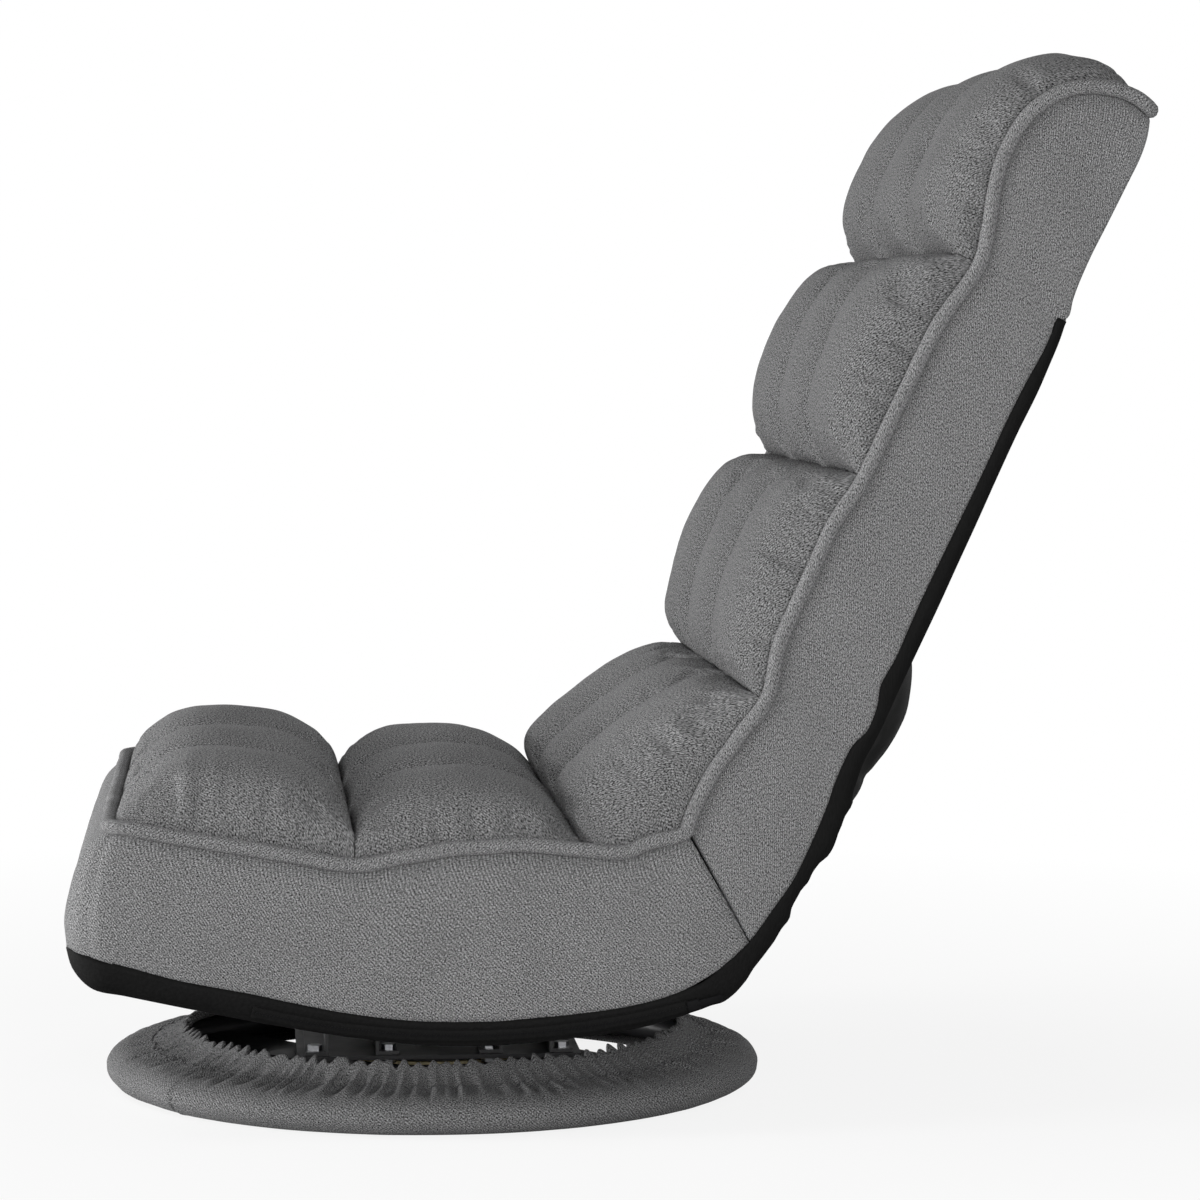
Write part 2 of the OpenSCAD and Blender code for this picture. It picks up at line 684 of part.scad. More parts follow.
module pawls() color("#6a6c70") for (y = [-rail_y, rail_y]) difference() {
    union() {
        slab(gear_t, y) translate([pawl_x, pawl_z]) circle(5);
        slab(gear_t, y) polygon([
            pawl_point(-tooth_h + 0.3, pawl_a), pawl_point(0.3, pawl_a + 2.4),
            pawl_point(1.2, pawl_a + 9), pawl_point(2.6, pawl_a + 18),
            pawl_point(7.6, pawl_pivot_a + 3), pawl_point(13, pawl_pivot_a - 5),
            pawl_point(12.5, pawl_pivot_a - 13), pawl_point(7.5, pawl_a + 3),
            pawl_point(3.5, pawl_a - 3.5), pawl_point(0.3, pawl_a - 2.4)]);
    }
    slab(gear_t + 2, y) translate([pawl_x, pawl_z]) circle(d = pawl_pin_d + 2*run_gap);
}

// Leaf spring beside the lifted pawl, between the cheeks
module pawl_springs() color("#9a9da1") for (y = [-rail_y, rail_y]) {
    a = pawl_point(8.6, pawl_a + 2);
    b = pawl_point(13.8, pawl_pivot_a - 13.5);
    c = [pawl_x - 4.2, pawl_z - 6.4];
    t = 0.8;
    slab(gear_t, y) polygon([a, b, c, c + [-t, -t/2], b + [-t, 0], a + [-t, 0]]);
}

module hinge_clearance() {
    for (y = [-rail_y, rail_y]) {
        slab(hinge_clear_w, y) translate([hinge_x, hinge_z]) circle(hinge_clear_r);
        slab(hinge_clear_w, y) translate([pawl_x, pawl_z]) circle(11.5);
        slab(hinge_clear_w, y) translate([rail_end_x, rail_end_z])
            rotate([0, 0, rail_rear_a]) translate([-30, -13]) square([80, 26]);
    }
}

// Side view of the foam block, which lies on the webbing and fills the nose
module foam_block() {
    polygon(concat(
        [[-400, 0], [-400, 400], [300, 400], [300, 160]],
        arc([rail_x, rail_z + rail_r], rail_r - tray_top, -45, -90 - rail_front_a, 20),
        [[front_tube_x - tube_d/2 - 1.5, front_tube_z + tube_d/2 + 1.5],
            [front_tube_x - tube_d/2 - 1.5, 0]]));
}

// Side view of the foam: it rises ahead of the pads up to the piping
module foam_top() {
    difference() {
        seat_shape(panel_t + soft_gap, 240);
        translate([pad_front_x - 0.6, deck_z]) square([500, 200]);
        translate([-400, seat_pipe[0][1] - piping_d/2 - 1.5]) square([500, 200]);
    }
}

module seat_foam() color("#d8d4c4") {
    inset = panel_t + soft_gap;
    wall = rail_y + tube_d/2 + 1;
    difference() {
        seat_outline(inset) intersection() {
            foam_top();
            foam_block();
        }
        hinge_clearance();
        at_seat_bolts() translate([0, 0, frame_z])
            cylinder(d = bolt_head_d + 3, h = square_tube + nut_h + 0.6);
    }
    for (side = [-1, 1]) intersection() {
        seat_outline(inset) foam_top();
        slab(half_w - wall, side*(half_w + wall)/2) difference() {
            square(1000, center = true);
            foam_block();
        }
    }
}

// Black underside: a tray whose lip is the black band
module seat_lining() color("#161617") difference() {
    intersection() {
        seat_shell(panel_t);
        slab(2*chair_w) below_band(band_h);
    }
    for (x = [-riser_x, riser_x])
        translate([x - riser_w/2 - 1, -riser_l/2 - 1, 0]) cube([riser_w + 2, riser_l + 2, 120]);
}

module seat_panels() color("#77787a") difference() {
    seat_shell(panel_t);
    slab(2*chair_w) below_band(band_h + 0.1);
    slab(2*chair_w) above_pipe();
}

// Piping from one rear end of the seat, round the front, to the other
module seat_piping() color("#77787a") {
    n = len(seat_pipe);
    side_l = [for (i = [n - 1:-1:1]) [seat_pipe[i][0], piping_y, seat_pipe[i][1]]];
    side_r = [for (i = [1:n - 1]) [seat_pipe[i][0], -piping_y, seat_pipe[i][1]]];
    r = 12;
    x0 = seat_pipe[0][0];
    z0 = seat_pipe[0][1];
    turn_l = [for (a = [0:30:90]) [x0 + r*(1 - sin(a)), piping_y - r*(1 - cos(a)), z0]];
    turn_r = [for (a = [90:-30:0]) [x0 + r*(1 - sin(a)), -piping_y + r*(1 - cos(a)), z0]];
    front = [for (y = [180:-60:-180]) [x0, y, z0]];
    sweep(concat(side_l, turn_l, front, turn_r, side_r), piping_d);
}

// Zip along the near side, in the middle of the black band
module seat_zip() color("#0e0e0f") intersection() {
    slab(0.8, -half_w - 0.45) difference() {
        below_band(band_h/2 + 3);
        below_band(band_h/2 - 3);
    }
    translate([under_x - zip_l/2, -half_w - 5, 0]) cube([zip_l, 10, 200]);
}

module zip_slider() color("#2b2b2d") {
    x = under_x + zip_l/2 + 5;
    translate([x, -half_w - 1.5, under_edge(x, band_h/2)]) {
        cube([9, 2.6, 8], center = true);
        translate([10, 0, 0]) cube([14, 1.4, 4], center = true);
    }
}

module front_seat_pads() color("#808183") {
    a = [pad_front_x, deck_z + soft_gap];
    b = [row_crease_x - soft_gap/2, deck_z + soft_gap];
    tufted_row(line_deck(a, b), line_out(a, b), front_crown, 26, 24, line_deck(a, b));
}

module rear_seat_pads() color("#808183") {
    a = [row_crease_x + soft_gap/2, deck_z + soft_gap];
    b = [seat_row_end, deck_z + soft_gap];
    tufted_row(line_deck(a, b), line_out(a, b), rear_crown, 24, 20, line_deck(a, b));
}

// Pads that fill the crook, on the soft wedge between seat and back
module crook_pads() color("#808183") {
    r = hinge_clear_r + 2;
    seat_side = seat_upper_a - 0.3;
    corner = (deck_z - hinge_z)/sin(seat_side);
    low = [for (q = [corner, (corner + r)/2, r])
        [hinge_x + q*cos(seat_side), hinge_z + q*sin(seat_side) + soft_gap]];
    foot = concat(
        [for (i = [0:2]) crook_start + (low[0] - crook_start)*i/3], low,
        [for (q = [r, 80, 134]) [hinge_x - soft_gap, hinge_z + q]], [crook_end]);
    out = [for (i = [0:9]) let (v = [-i/9*cos(lean), 1 - i/9*(1 - sin(lean))]) v/norm(v)];
    tufted_row(line_deck(crook_start, crook_end), out, crook_crown, 22, 16, foot);
}

// Side gussets of the fold, above and below the axis
module crook_panels() color("#77787a") for (side = [-1, 1]) {
    apex = [hinge_x, hinge_z];
    slab(panel_t, side*(half_w - panel_t/2)) difference() {
        union() {
            intersection() {
                wedge(back_upper_a + 0.3, seat_upper_a - 0.3, 160);
                polygon(concat([apex, [100, 150], [138, 199]],
                    [for (p = crook_pipe) [p[0] + 4.2, p[1] - 4.2]], [[hinge_x, 284]]));
            }
            intersection() {
                wedge(seat_lower_a + 0.3, 360 + back_lower_a - 0.3, 160);
                polygon([apex, [160, 93.6], [187.2, 93.6], [197.8, 103.5], [214, 120.9],
                    [231, 139.3], [250, 152]]);
            }
        }
        translate(apex) circle(4);
    }
}

module crook_piping() color("#77787a") for (side = [-1, 1])
    sweep([for (p = crook_pipe) [p[0], side*piping_y, p[1]]], piping_d);

// Slack black lining below the hinge
module hinge_gaiter() color("#161617") {
    slab(chair_w - 2) polygon([[187.2, 91.1], [198.6, 101.2], [215, 118.6], [232.4, 136.7],
        [230.8, 138.2], [213.8, 120], [197.6, 102.8], [187.2, 93.3]]);
    slab(chair_w - 90) polygon([[170, 84.6], [180, 75], [192, 70], [200, 73], [211, 83],
        [236, 113], [249, 134.6], [231.2, 136.2], [215.4, 119], [199, 101.6], [187.3, 91.2],
        [178, 87.6]]);
}

// Loose roll of the lining on the back, above the hinge
module back_lining_fold() color("#161617") on_back() slab(chair_w - 80)
    polygon([for (p = [[4, 0.4], [8, 14], [20, 16], [43, 17], [61, 21], [78, 24], [95, 24.5],
        [110, 20], [129, 27], [146, 30], [166, 35], [182, 35], [208, 28], [222, 18], [232, 0.4],
        [200, 0.4], [84, 0.4], [50, -3], [20, -3.8]])
        [rear_in + p[1], p[0]]]);

module hinge_sectors() color("#4a4b4e") for (y = [-rail_y, rail_y]) {
    // Tooth gaps lie where the pawl tip enters them
    a0 = pawl_a - ratchet_pitch*(rest_step + 1);
    teeth = ratchet_steps + 2;
    root = gear_r - tooth_h;
    difference() {
        union() {
            slab(gear_t, y) translate([hinge_x, hinge_z]) circle(root);
            slab(gear_t, y) translate([hinge_x, hinge_z]) polygon(concat([[0, 0]],
                [for (i = [0:teeth - 1]) each [
                    (root - 0.4)*[cos(a0 + i*ratchet_pitch), sin(a0 + i*ratchet_pitch)],
                    gear_r*[cos(a0 + (i + 0.5)*ratchet_pitch),
                        sin(a0 + (i + 0.5)*ratchet_pitch)]]],
                [(root - 0.4)*[cos(a0 + teeth*ratchet_pitch), sin(a0 + teeth*ratchet_pitch)]]));
            on_back() translate([-7, y - gear_t/2, 0]) cube([14, gear_t, back_rail_s + 24]);
        }
        slab(gear_t + 2, y) translate([hinge_x, hinge_z]) circle(d = rivet_d + 2*run_gap);
    }
}

module back_side_rails() color("#1f1f21") on_back() for (y = [-rail_y, rail_y])
    translate([0, y, back_rail_s]) pipe(tube_d, tube_wall, back_rail_end - back_rail_s);

module back_top_tube() color("#1f1f21") on_back()
    translate([0, -rail_y - tube_d/2, back_rail_end + tube_d/2 + 0.3]) rotate([-90, 0, 0])
        pipe(tube_d, tube_wall, 2*rail_y + tube_d);

module back_cross_tubes() color("#1f1f21") on_back() for (s = [150, 360])
    translate([0, -rail_y + tube_d/2, s]) rotate([-90, 0, 0])
        pipe(tube_d, tube_wall, 2*rail_y - tube_d);

module back_webbing() color("#3a3a3c") on_back() for (s = [200, 280, 430, 510])
    translate([-tube_d/2 - 0.1 - strap_t, -rail_y - tube_d/2, s - strap_w/2])
        cube([strap_t, 2*rail_y + tube_d, strap_w]);

// Side view of the back about the recline axis, drawn in by inset; z is up the back
module back_shape(inset, low = -60) {
    d0 = -deck_in + inset;
    d1 = rear_in - inset;
    polygon(concat(
        [[d0, low], [d0, top_s]],
        arc([top_d, top_s], top_r - inset, 180, rear_top_a, 10),
        [[d1, 80], [d1 - 4, 50], [d1 - 4.6, 18], [d1 - 9, -15], [d1 - 16, low]]));
}

// Side view of the zone along the back's rear line, up to a depth, between two heights
module rear_zone(depth, s0, s1) {
    function rear(s) = s < 80 ? rear_in - 16*(80 - s)/150 :
        rear_in - back_taper*(s - 80)/(rear_top_s - 80);
    polygon([[rear(s0) - depth, s0], [rear(max(80, s0)) - depth, max(80, s0)],
        [rear(s1) - depth, s1], [rear_in + 20, s1], [rear_in + 20, s0]]);
}

// The back as a solid, cut off by the planes that leave room for the fold
module back_solid(inset, w) {
    difference() {
        intersection() {
            on_back() slab(w) back_shape(inset);
            slab(w) wedge(back_lower_a, back_upper_a);
        }
        slab(2*w) translate([hinge_x, hinge_z]) circle(fold_gap);
    }
}

module back_foam() color("#d8d4c4") difference() {
    back_solid(panel_t + soft_gap, chair_w - 2*panel_t - 2*soft_gap);
    hinge_clearance();
    for (side = [-1, 1]) slab(2*piping_d + 1, side*(piping_y + piping_d/2))
        back_pipe_zone(piping_d/2 + 0.5);
    slab(2*chair_w) translate(back_point(rear_top_s, rear_top_d)) circle(piping_d/2 + 0.5);
    on_back() {
        for (y = [-rail_y, rail_y]) translate([0, y, -30])
            cylinder(d = tube_d + 1, h = back_rail_end + 30.5);
        translate([0, -rail_y - 11, back_rail_end + tube_d/2 + 0.3]) rotate([-90, 0, 0])
            cylinder(d = tube_d + 1.2, h = 2*rail_y + 22);
        for (s = [150, 360]) translate([0, -rail_y, s]) rotate([-90, 0, 0])
            cylinder(d = tube_d + 0.8, h = 2*rail_y);
        for (s = [200, 280, 430, 510])
            translate([-tube_d/2 - 0.3 - strap_t, -rail_y - tube_d/2 - 0.5, s - strap_w/2 - 0.3])
                cube([strap_t + 4, 2*rail_y + tube_d + 1, strap_w + 0.6]);
    }
}

// Fabric shell of the back, open to the sitter and below
module back_shell() {
    difference() {
        back_solid(0, chair_w);
        on_back() slab(chair_w - 2*panel_t) back_shape(panel_t, -80);
    }
}

module back_lining() color("#161617") intersection() {
    back_shell();
    on_back() slab(2*chair_w) rear_zone(band_h, -60, lining_end);
}

module head_rear_panel() color("#77787a") intersection() {
    back_shell();
    on_back() slab(chair_w - 2*panel_t - 0.2)
        rear_zone(panel_t + 4, lining_end + 0.1, rear_top_s - piping_d/2 - 0.8);
}

module back_panels() color("#77787a") difference() {
    back_shell();
    on_back() slab(2*chair_w) rear_zone(band_h + 0.1, -70, lining_end + 0.1);
    on_back() slab(chair_w - 2*panel_t) square(2000, center = true);
    slab(2*chair_w) back_pipe_zone(piping_d/2 + 0.2);
}

// Points of the back's piping in the side view, from the crook to the rear top edge
function back_pipe() = concat(
    [[210, 291]],
    [for (s = [170:34:head_s + head_l]) back_point(s, -deck_in)],
    [for (p = arc([top_d, top_s], top_r, 180, rear_top_a, 8)) back_point(p[1], p[0])]);

// Side view of the space that the piping takes along the front and top edge
module back_pipe_zone(r) {
    p = back_pipe();
    for (i = [0:len(p) - 1]) translate(p[i]) circle(r, $fn = 24);
    for (i = [0:len(p) - 2]) {
        u = (p[i + 1] - p[i])/norm(p[i + 1] - p[i]);
        n = r*[-u[1], u[0]];
        polygon([p[i] + n, p[i + 1] + n, p[i + 1] - n, p[i] - n]);
    }
}

// Piping up one side, across the rear top edge and down the other
module back_piping() color("#77787a") {
    p = back_pipe();
    n = len(p) - 1;
    up = [for (q = p) [q[0], -piping_y, q[1]]];
    down = [for (i = [n:-1:0]) [p[i][0], piping_y, p[i][1]]];
    across = [for (y = [-200:50:200]) [p[n][0], y, p[n][1]]];
    sweep(concat(up, across, down), piping_d);
}

// A straight row of pads on the back, between two distances up it
module back_row(s0, s1, high, start, end) {
    a = back_point(s0 + soft_gap/2, -pad_in);
    b = back_point(s1 - soft_gap/2, -pad_in);
    tufted_row(line_deck(a, b), line_out(a, b), high, start, end, line_deck(a, b));
}

module lumbar_pads() color("#808183")
    back_row(lumbar_s, middle_s, lumbar_crown, 14, 12);

module middle_pads() color("#808183")
    back_row(middle_s, head_s, middle_crown, 12, 10);

// The head pads go up the front and over the round top
module head_pads() color("#808183") {
    r = top_r - panel_t + 1.3;
    up = [for (i = [0:3]) back_point(head_s + soft_gap/2 + (head_l - soft_gap)*i/4, -pad_in)];
    over = [for (p = arc([top_d, top_s], r, 180, rear_top_a + 8, 5)) back_point(p[1], p[0])];
    out_up = [for (i = [0:3]) [-cos(lean), sin(lean)]];
    out_over = [for (p = arc([0, 0], 1, 180, rear_top_a + 8, 5))
        [p[0]*cos(lean) + p[1]*sin(lean), -p[0]*sin(lean) + p[1]*cos(lean)]];
    tufted_row(concat(up, over), concat(out_up, out_over), head_crown, 10, 8,
        concat(up, over));
}

base_ring_tube();
base_cross_bars();
base_ring_foam();
base_ring_cover();
base_hem_elastic();
swivel_lower_plate();
base_bolts();
base_nuts();
king_pin();
ball_cage();
bearing_balls();
swivel_upper_plate();
seat_risers();
riser_screws();
riser_nuts();
seat_bolts();
seat_nuts();
seat_cross_tubes();
seat_side_rails();
seat_front_tube();
seat_rear_tube();
seat_webbing();
hinge_cheeks();
hinge_rivets();
pawl_pins();
pawl_springs();
pawls();
seat_foam();
seat_lining();
seat_panels();
seat_piping();
seat_zip();
zip_slider();
front_seat_pads();
rear_seat_pads();
crook_pads();
crook_panels();
crook_piping();
hinge_gaiter();
hinge_sectors();
back_side_rails();
back_top_tube();
back_cross_tubes();
back_webbing();
back_foam();
back_lining();
head_rear_panel();
back_panels();
back_piping();
lumbar_pads();
middle_pads();
head_pads();
back_lining_fold();
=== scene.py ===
import bpy
import bmesh
import json
from bisect import bisect_right
from math import sin, cos, pi, radians, sqrt, exp, atan2
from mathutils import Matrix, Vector, noise


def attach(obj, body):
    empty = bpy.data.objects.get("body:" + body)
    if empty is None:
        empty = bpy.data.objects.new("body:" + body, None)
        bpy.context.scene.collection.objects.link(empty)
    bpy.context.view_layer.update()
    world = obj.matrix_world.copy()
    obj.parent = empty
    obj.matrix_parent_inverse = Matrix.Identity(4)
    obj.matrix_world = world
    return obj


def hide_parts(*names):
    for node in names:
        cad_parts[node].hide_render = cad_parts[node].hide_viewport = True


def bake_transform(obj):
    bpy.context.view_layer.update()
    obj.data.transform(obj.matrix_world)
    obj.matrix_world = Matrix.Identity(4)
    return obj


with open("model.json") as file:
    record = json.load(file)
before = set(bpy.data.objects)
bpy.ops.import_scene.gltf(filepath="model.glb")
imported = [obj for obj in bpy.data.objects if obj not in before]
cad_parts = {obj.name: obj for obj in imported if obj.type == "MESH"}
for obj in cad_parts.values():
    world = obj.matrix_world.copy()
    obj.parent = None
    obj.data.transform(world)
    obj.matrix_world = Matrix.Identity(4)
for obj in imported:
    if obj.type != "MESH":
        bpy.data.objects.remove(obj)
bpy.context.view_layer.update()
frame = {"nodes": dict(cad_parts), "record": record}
scene = bpy.context.scene
mm = 0.001

# The recline axis and the slope of the back, as in the CAD
chair = {
    "hinge": (208, 152),
    "lean": radians(24.8),
    "halfWidth": 262,
    "padHalf": 254.5,
    "deck": 196,
    "backDeck": -56.5,      # where the back's pads lie, rearwards from the hinge
}


# Side view point, up the back and towards its rear
def backPoint(up, rear):
    hx, hz = chair["hinge"]
    a = chair["lean"]
    return Vector((hx + up*sin(a) + rear*cos(a), hz + up*cos(a) - rear*sin(a)))


# A smooth curve through the points, read from 0 to 1 by length or by the marks
def curveThrough(points, marks=None):
    pts = [Vector(p) for p in points]
    if marks is None:
        marks = [0.0]
        for a, b in zip(pts, pts[1:]):
            marks.append(marks[-1] + (b - a).length)

    def at(t):
        want = min(max(t, 0.0), 1.0)*marks[-1]
        i = min(max(bisect_right(marks, want) - 1, 0), len(pts) - 2)
        before, after = max(i - 1, 0), min(i + 2, len(pts) - 1)
        span = marks[i + 1] - marks[i]
        f = (want - marks[i])/span
        m1 = (pts[i + 1] - pts[before])/(marks[i + 1] - marks[before])*span
        m2 = (pts[after] - pts[i])/(marks[after] - marks[i])*span
        f2, f3 = f*f, f*f*f
        return (pts[i]*(2*f3 - 3*f2 + 1) + m1*(f3 - 2*f2 + f)
                + pts[i + 1]*(3*f2 - 2*f3) + m2*(f3 - f2))
    at.length = marks[-1]
    at.marks = marks
    return at


# Rises smoothly from 0 at a to 1 at b
def step(a, b, x):
    t = min(max((x - a)/(b - a), 0.0), 1.0)
    return t*t*(3 - 2*t)


# 1 in the middle and 0 at both ends
def crown(t, power):
    return sqrt(max(0.0, 1 - abs(2*t - 1)**power))


# Smooth noise, about -1 to 1, with features of that size in mm
def ripple(x, y, z, size):
    return noise.noise(Vector((x/size, y/size, z/size)))


# Makes a piece from a bmesh, with its finish and its slot in the record
def addPiece(name, bm, finish, smooth=True):
    mesh = bpy.data.meshes.new(name)
    for face in bm.faces:
        face.smooth = smooth
    bm.to_mesh(mesh)
    bm.free()
    piece = bpy.data.objects.new(name, mesh)
    scene.collection.objects.link(piece)
    mesh.materials.append(finish)
    return piece


# A grid whose points go where place(a, b) says, in mm, with its own lengths as its UV map
def layGrid(across, along, place, turn=(0.0, 0.0)):
    bm = bmesh.new()
    bmesh.ops.create_grid(bm, x_segments=across, y_segments=along, size=0.5)
    weave = bm.loops.layers.uv.new("weave")
    spots = {}
    for vert in bm.verts:
        i, j = round((vert.co.x + 0.5)*across), round((vert.co.y + 0.5)*along)
        vert.index = j*(across + 1) + i
        spots[vert.index] = place(i/across, j/along)
    wide, tall = {}, {}
    middle = across//2
    for j in range(along + 1):
        row = j*(across + 1)
        wide[row + middle] = 0.0
        for i in range(middle + 1, across + 1):
            wide[row + i] = wide[row + i - 1] + (spots[row + i] - spots[row + i - 1]).length
        for i in range(middle - 1, -1, -1):
            wide[row + i] = wide[row + i + 1] - (spots[row + i + 1] - spots[row + i]).length
    for i in range(across + 1):
        tall[i] = 0.0
        for j in range(1, along + 1):
            k = j*(across + 1) + i
            tall[k] = tall[k - across - 1] + (spots[k] - spots[k - across - 1]).length
    for face in bm.faces:
        for loop in face.loops:
            k = loop.vert.index
            loop[weave].uv = (wide[k]*mm + turn[0], tall[k]*mm + turn[1])
    for vert in bm.verts:
        vert.co = spots[vert.index]*mm
    bm.verts.sort()
    return bm


# Turns an open sheet so that it faces away from a point inside the chair
def faceAwayFrom(bm, inside):
    bm.normal_update()
    total = sum(f.calc_area()*f.normal.dot(f.calc_center_median() - inside(f.calc_center_median()))
                for f in bm.faces)
    if total < 0:
        bmesh.ops.reverse_faces(bm, faces=bm.faces[:])


def newMaterial(name):
    finish = bpy.data.materials.new(name)
    finish.use_nodes = True
    nodes, links = finish.node_tree.nodes, finish.node_tree.links
    return finish, nodes, links, nodes["Principled BSDF"]


def addNoise(nodes, links, where, scale, detail, rough=0.5):
    cell = nodes.new("ShaderNodeTexNoise")
    cell.inputs["Scale"].default_value = scale
    cell.inputs["Detail"].default_value = detail
    cell.inputs["Roughness"].default_value = rough
    links.new(where, cell.inputs["Vector"])
    return cell.outputs["Fac"]


def remap(nodes, links, value, low, high, to0, to1):
    span = nodes.new("ShaderNodeMapRange")
    for key, number in (("From Min", low), ("From Max", high), ("To Min", to0), ("To Max", to1)):
        span.inputs[key].default_value = number
    links.new(value, span.inputs["Value"])
    return span.outputs["Result"]


def combine(nodes, links, kind, a, b):
    maths = nodes.new("ShaderNodeMath")
    maths.operation = kind
    links.new(a, maths.inputs[0])
    if isinstance(b, (int, float)):
        maths.inputs[1].default_value = b
    else:
        links.new(b, maths.inputs[1])
    return maths.outputs[0]


def giveBump(nodes, links, shader, height, strength, distance):
    bump = nodes.new("ShaderNodeBump")
    bump.inputs["Strength"].default_value = strength
    bump.inputs["Distance"].default_value = distance
    links.new(height, bump.inputs["Height"])
    links.new(bump.outputs["Normal"], shader.inputs["Normal"])


def giveColour(nodes, links, shader, shade, tint):
    colour = nodes.new("ShaderNodeCombineColor")
    for channel, part in zip(("Red", "Green", "Blue"), tint):
        links.new(combine(nodes, links, "MULTIPLY", shade, part), colour.inputs[channel])
    links.new(colour.outputs["Color"], shader.inputs["Base Color"])


# Tone is the mean grey, pitch the rib spacing in metres, contrast how far the fibres stray from the tone
twill = {"tone": 0.165, "tint": (1.0, 1.0, 1.01), "pitch": 0.0019, "contrast": 0.98, "ribShade": (0.70, 1.26),
         "bump": 0.55, "sheen": 0.03, "sheenRough": 0.45, "gloss": 0.12}


# Heathered grey twill: diagonal ribs, light and dark fibres, slow mottling
def makeTwill(name, share, fibre=0.0008, bumpHeight=0.0001):
    finish, nodes, links, shader = newMaterial(name)
    uv = nodes.new("ShaderNodeUVMap")
    uv.uv_map = "weave"
    where = uv.outputs["UV"]
    ribs = nodes.new("ShaderNodeTexWave")
    ribs.wave_type, ribs.bands_direction = "BANDS", "DIAGONAL"
    ribs.inputs["Scale"].default_value = 0.6283/(twill["pitch"]*1.414)
    ribs.inputs["Distortion"].default_value = 1.6
    ribs.inputs["Detail"].default_value = 2
    ribs.inputs["Detail Scale"].default_value = 1.8
    links.new(where, ribs.inputs["Vector"])
    threads = []
    for stretch in ((0.62, 1.0, 1.0), (1.0, 0.62, 1.0)):      # fibres along the warp and the weft
        laid = nodes.new("ShaderNodeMapping")
        laid.inputs["Scale"].default_value = stretch
        links.new(where, laid.inputs["Vector"])
        threads.append(addNoise(nodes, links, laid.outputs[0], 1/fibre, 2.0, 0.6))
    fibres = combine(nodes, links, "MULTIPLY", combine(nodes, links, "ADD", *threads), 0.5)
    clumps = addNoise(nodes, links, where, 140, 2)
    cloud = addNoise(nodes, links, where, 16, 3)
    shade = remap(nodes, links, fibres, 0.40, 0.60, 1 - twill["contrast"], 1 + twill["contrast"])
    ribbed = remap(nodes, links, ribs.outputs["Fac"], 0, 1, *twill["ribShade"])
    clumped = remap(nodes, links, clumps, 0.3, 0.7, 0.95, 1.05)
    mottled = remap(nodes, links, cloud, 0.3, 0.7, 0.95, 1.05)
    for layer in (ribbed, clumped, mottled, twill["tone"]*share):
        shade = combine(nodes, links, "MULTIPLY", shade, layer)
    giveColour(nodes, links, shader, shade, twill["tint"])
    giveBump(nodes, links, shader, combine(nodes, links, "ADD", ribs.outputs["Fac"], fibres),
             twill["bump"], bumpHeight)
    links.new(remap(nodes, links, fibres, 0.3, 0.7, 0.86, 0.98), shader.inputs["Roughness"])
    shader.inputs["Sheen Weight"].default_value = twill["sheen"]
    shader.inputs["Sheen Roughness"].default_value = twill["sheenRough"]
    shader.inputs["Specular IOR Level"].default_value = twill["gloss"]
    return finish


nylon = {"tone": 0.0045, "weave": 1100, "slubs": 420, "wear": 22, "bump": 0.25, "bumpHeight": 0.0002, "gloss": 0.07}


# Smooth black nylon lining with a fine plain weave
def makeLining(name, tone=nylon["tone"]):
    finish, nodes, links, shader = newMaterial(name)
    uv = nodes.new("ShaderNodeUVMap")
    uv.uv_map = "weave"
    weave = nodes.new("ShaderNodeTexChecker")
    weave.inputs["Scale"].default_value = nylon["weave"]
    links.new(uv.outputs["UV"], weave.inputs["Vector"])
    slubs = addNoise(nodes, links, uv.outputs["UV"], nylon["slubs"], 3)
    wear = addNoise(nodes, links, uv.outputs["UV"], nylon["wear"], 4)
    shade = remap(nodes, links, slubs, 0.3, 0.7, tone*0.7, tone*1.5)
    shade = combine(nodes, links, "MULTIPLY", shade, remap(nodes, links, wear, 0.3, 0.7, 0.8, 1.25))
    colour = nodes.new("ShaderNodeCombineColor")
    for channel in ("Red", "Green", "Blue"):
        links.new(shade, colour.inputs[channel])
    links.new(colour.outputs["Color"], shader.inputs["Base Color"])
    giveBump(nodes, links, shader, combine(nodes, links, "ADD", weave.outputs["Fac"], slubs),
             nylon["bump"], nylon["bumpHeight"])
    links.new(remap(nodes, links, wear, 0.3, 0.7, 0.55, 0.75), shader.inputs["Roughness"])
    shader.inputs["Specular IOR Level"].default_value = nylon["gloss"]
    return finish


# Powder coat, plating, moulded plastic: object coordinates, fine grain, slow wear
def makeHard(name, colour, metal, rough, grain=90, depth=0.0001, mottle=0.12, stretch=(1, 1, 1), gloss=0.5):
    finish, nodes, links, shader = newMaterial(name)
    coords = nodes.new("ShaderNodeTexCoord")
    turned = nodes.new("ShaderNodeMapping")
    turned.inputs["Scale"].default_value = stretch
    links.new(coords.outputs["Object"], turned.inputs["Vector"])
    fine = addNoise(nodes, links, turned.outputs[0], grain*10, 3)
    slow = addNoise(nodes, links, coords.outputs["Object"], 28, 4)
    shade = combine(nodes, links, "MULTIPLY", remap(nodes, links, fine, 0.3, 0.7, 1 - mottle, 1 + mottle),
                    remap(nodes, links, slow, 0.3, 0.7, 0.88, 1.10))
    giveColour(nodes, links, shader, shade, colour)
    shader.inputs["Metallic"].default_value = metal
    links.new(remap(nodes, links, slow, 0.3, 0.7, rough*0.85, min(1.0, rough*1.2)), shader.inputs["Roughness"])
    shader.inputs["Specular IOR Level"].default_value = gloss
    giveBump(nodes, links, shader, fine, 0.3, depth)
    return finish


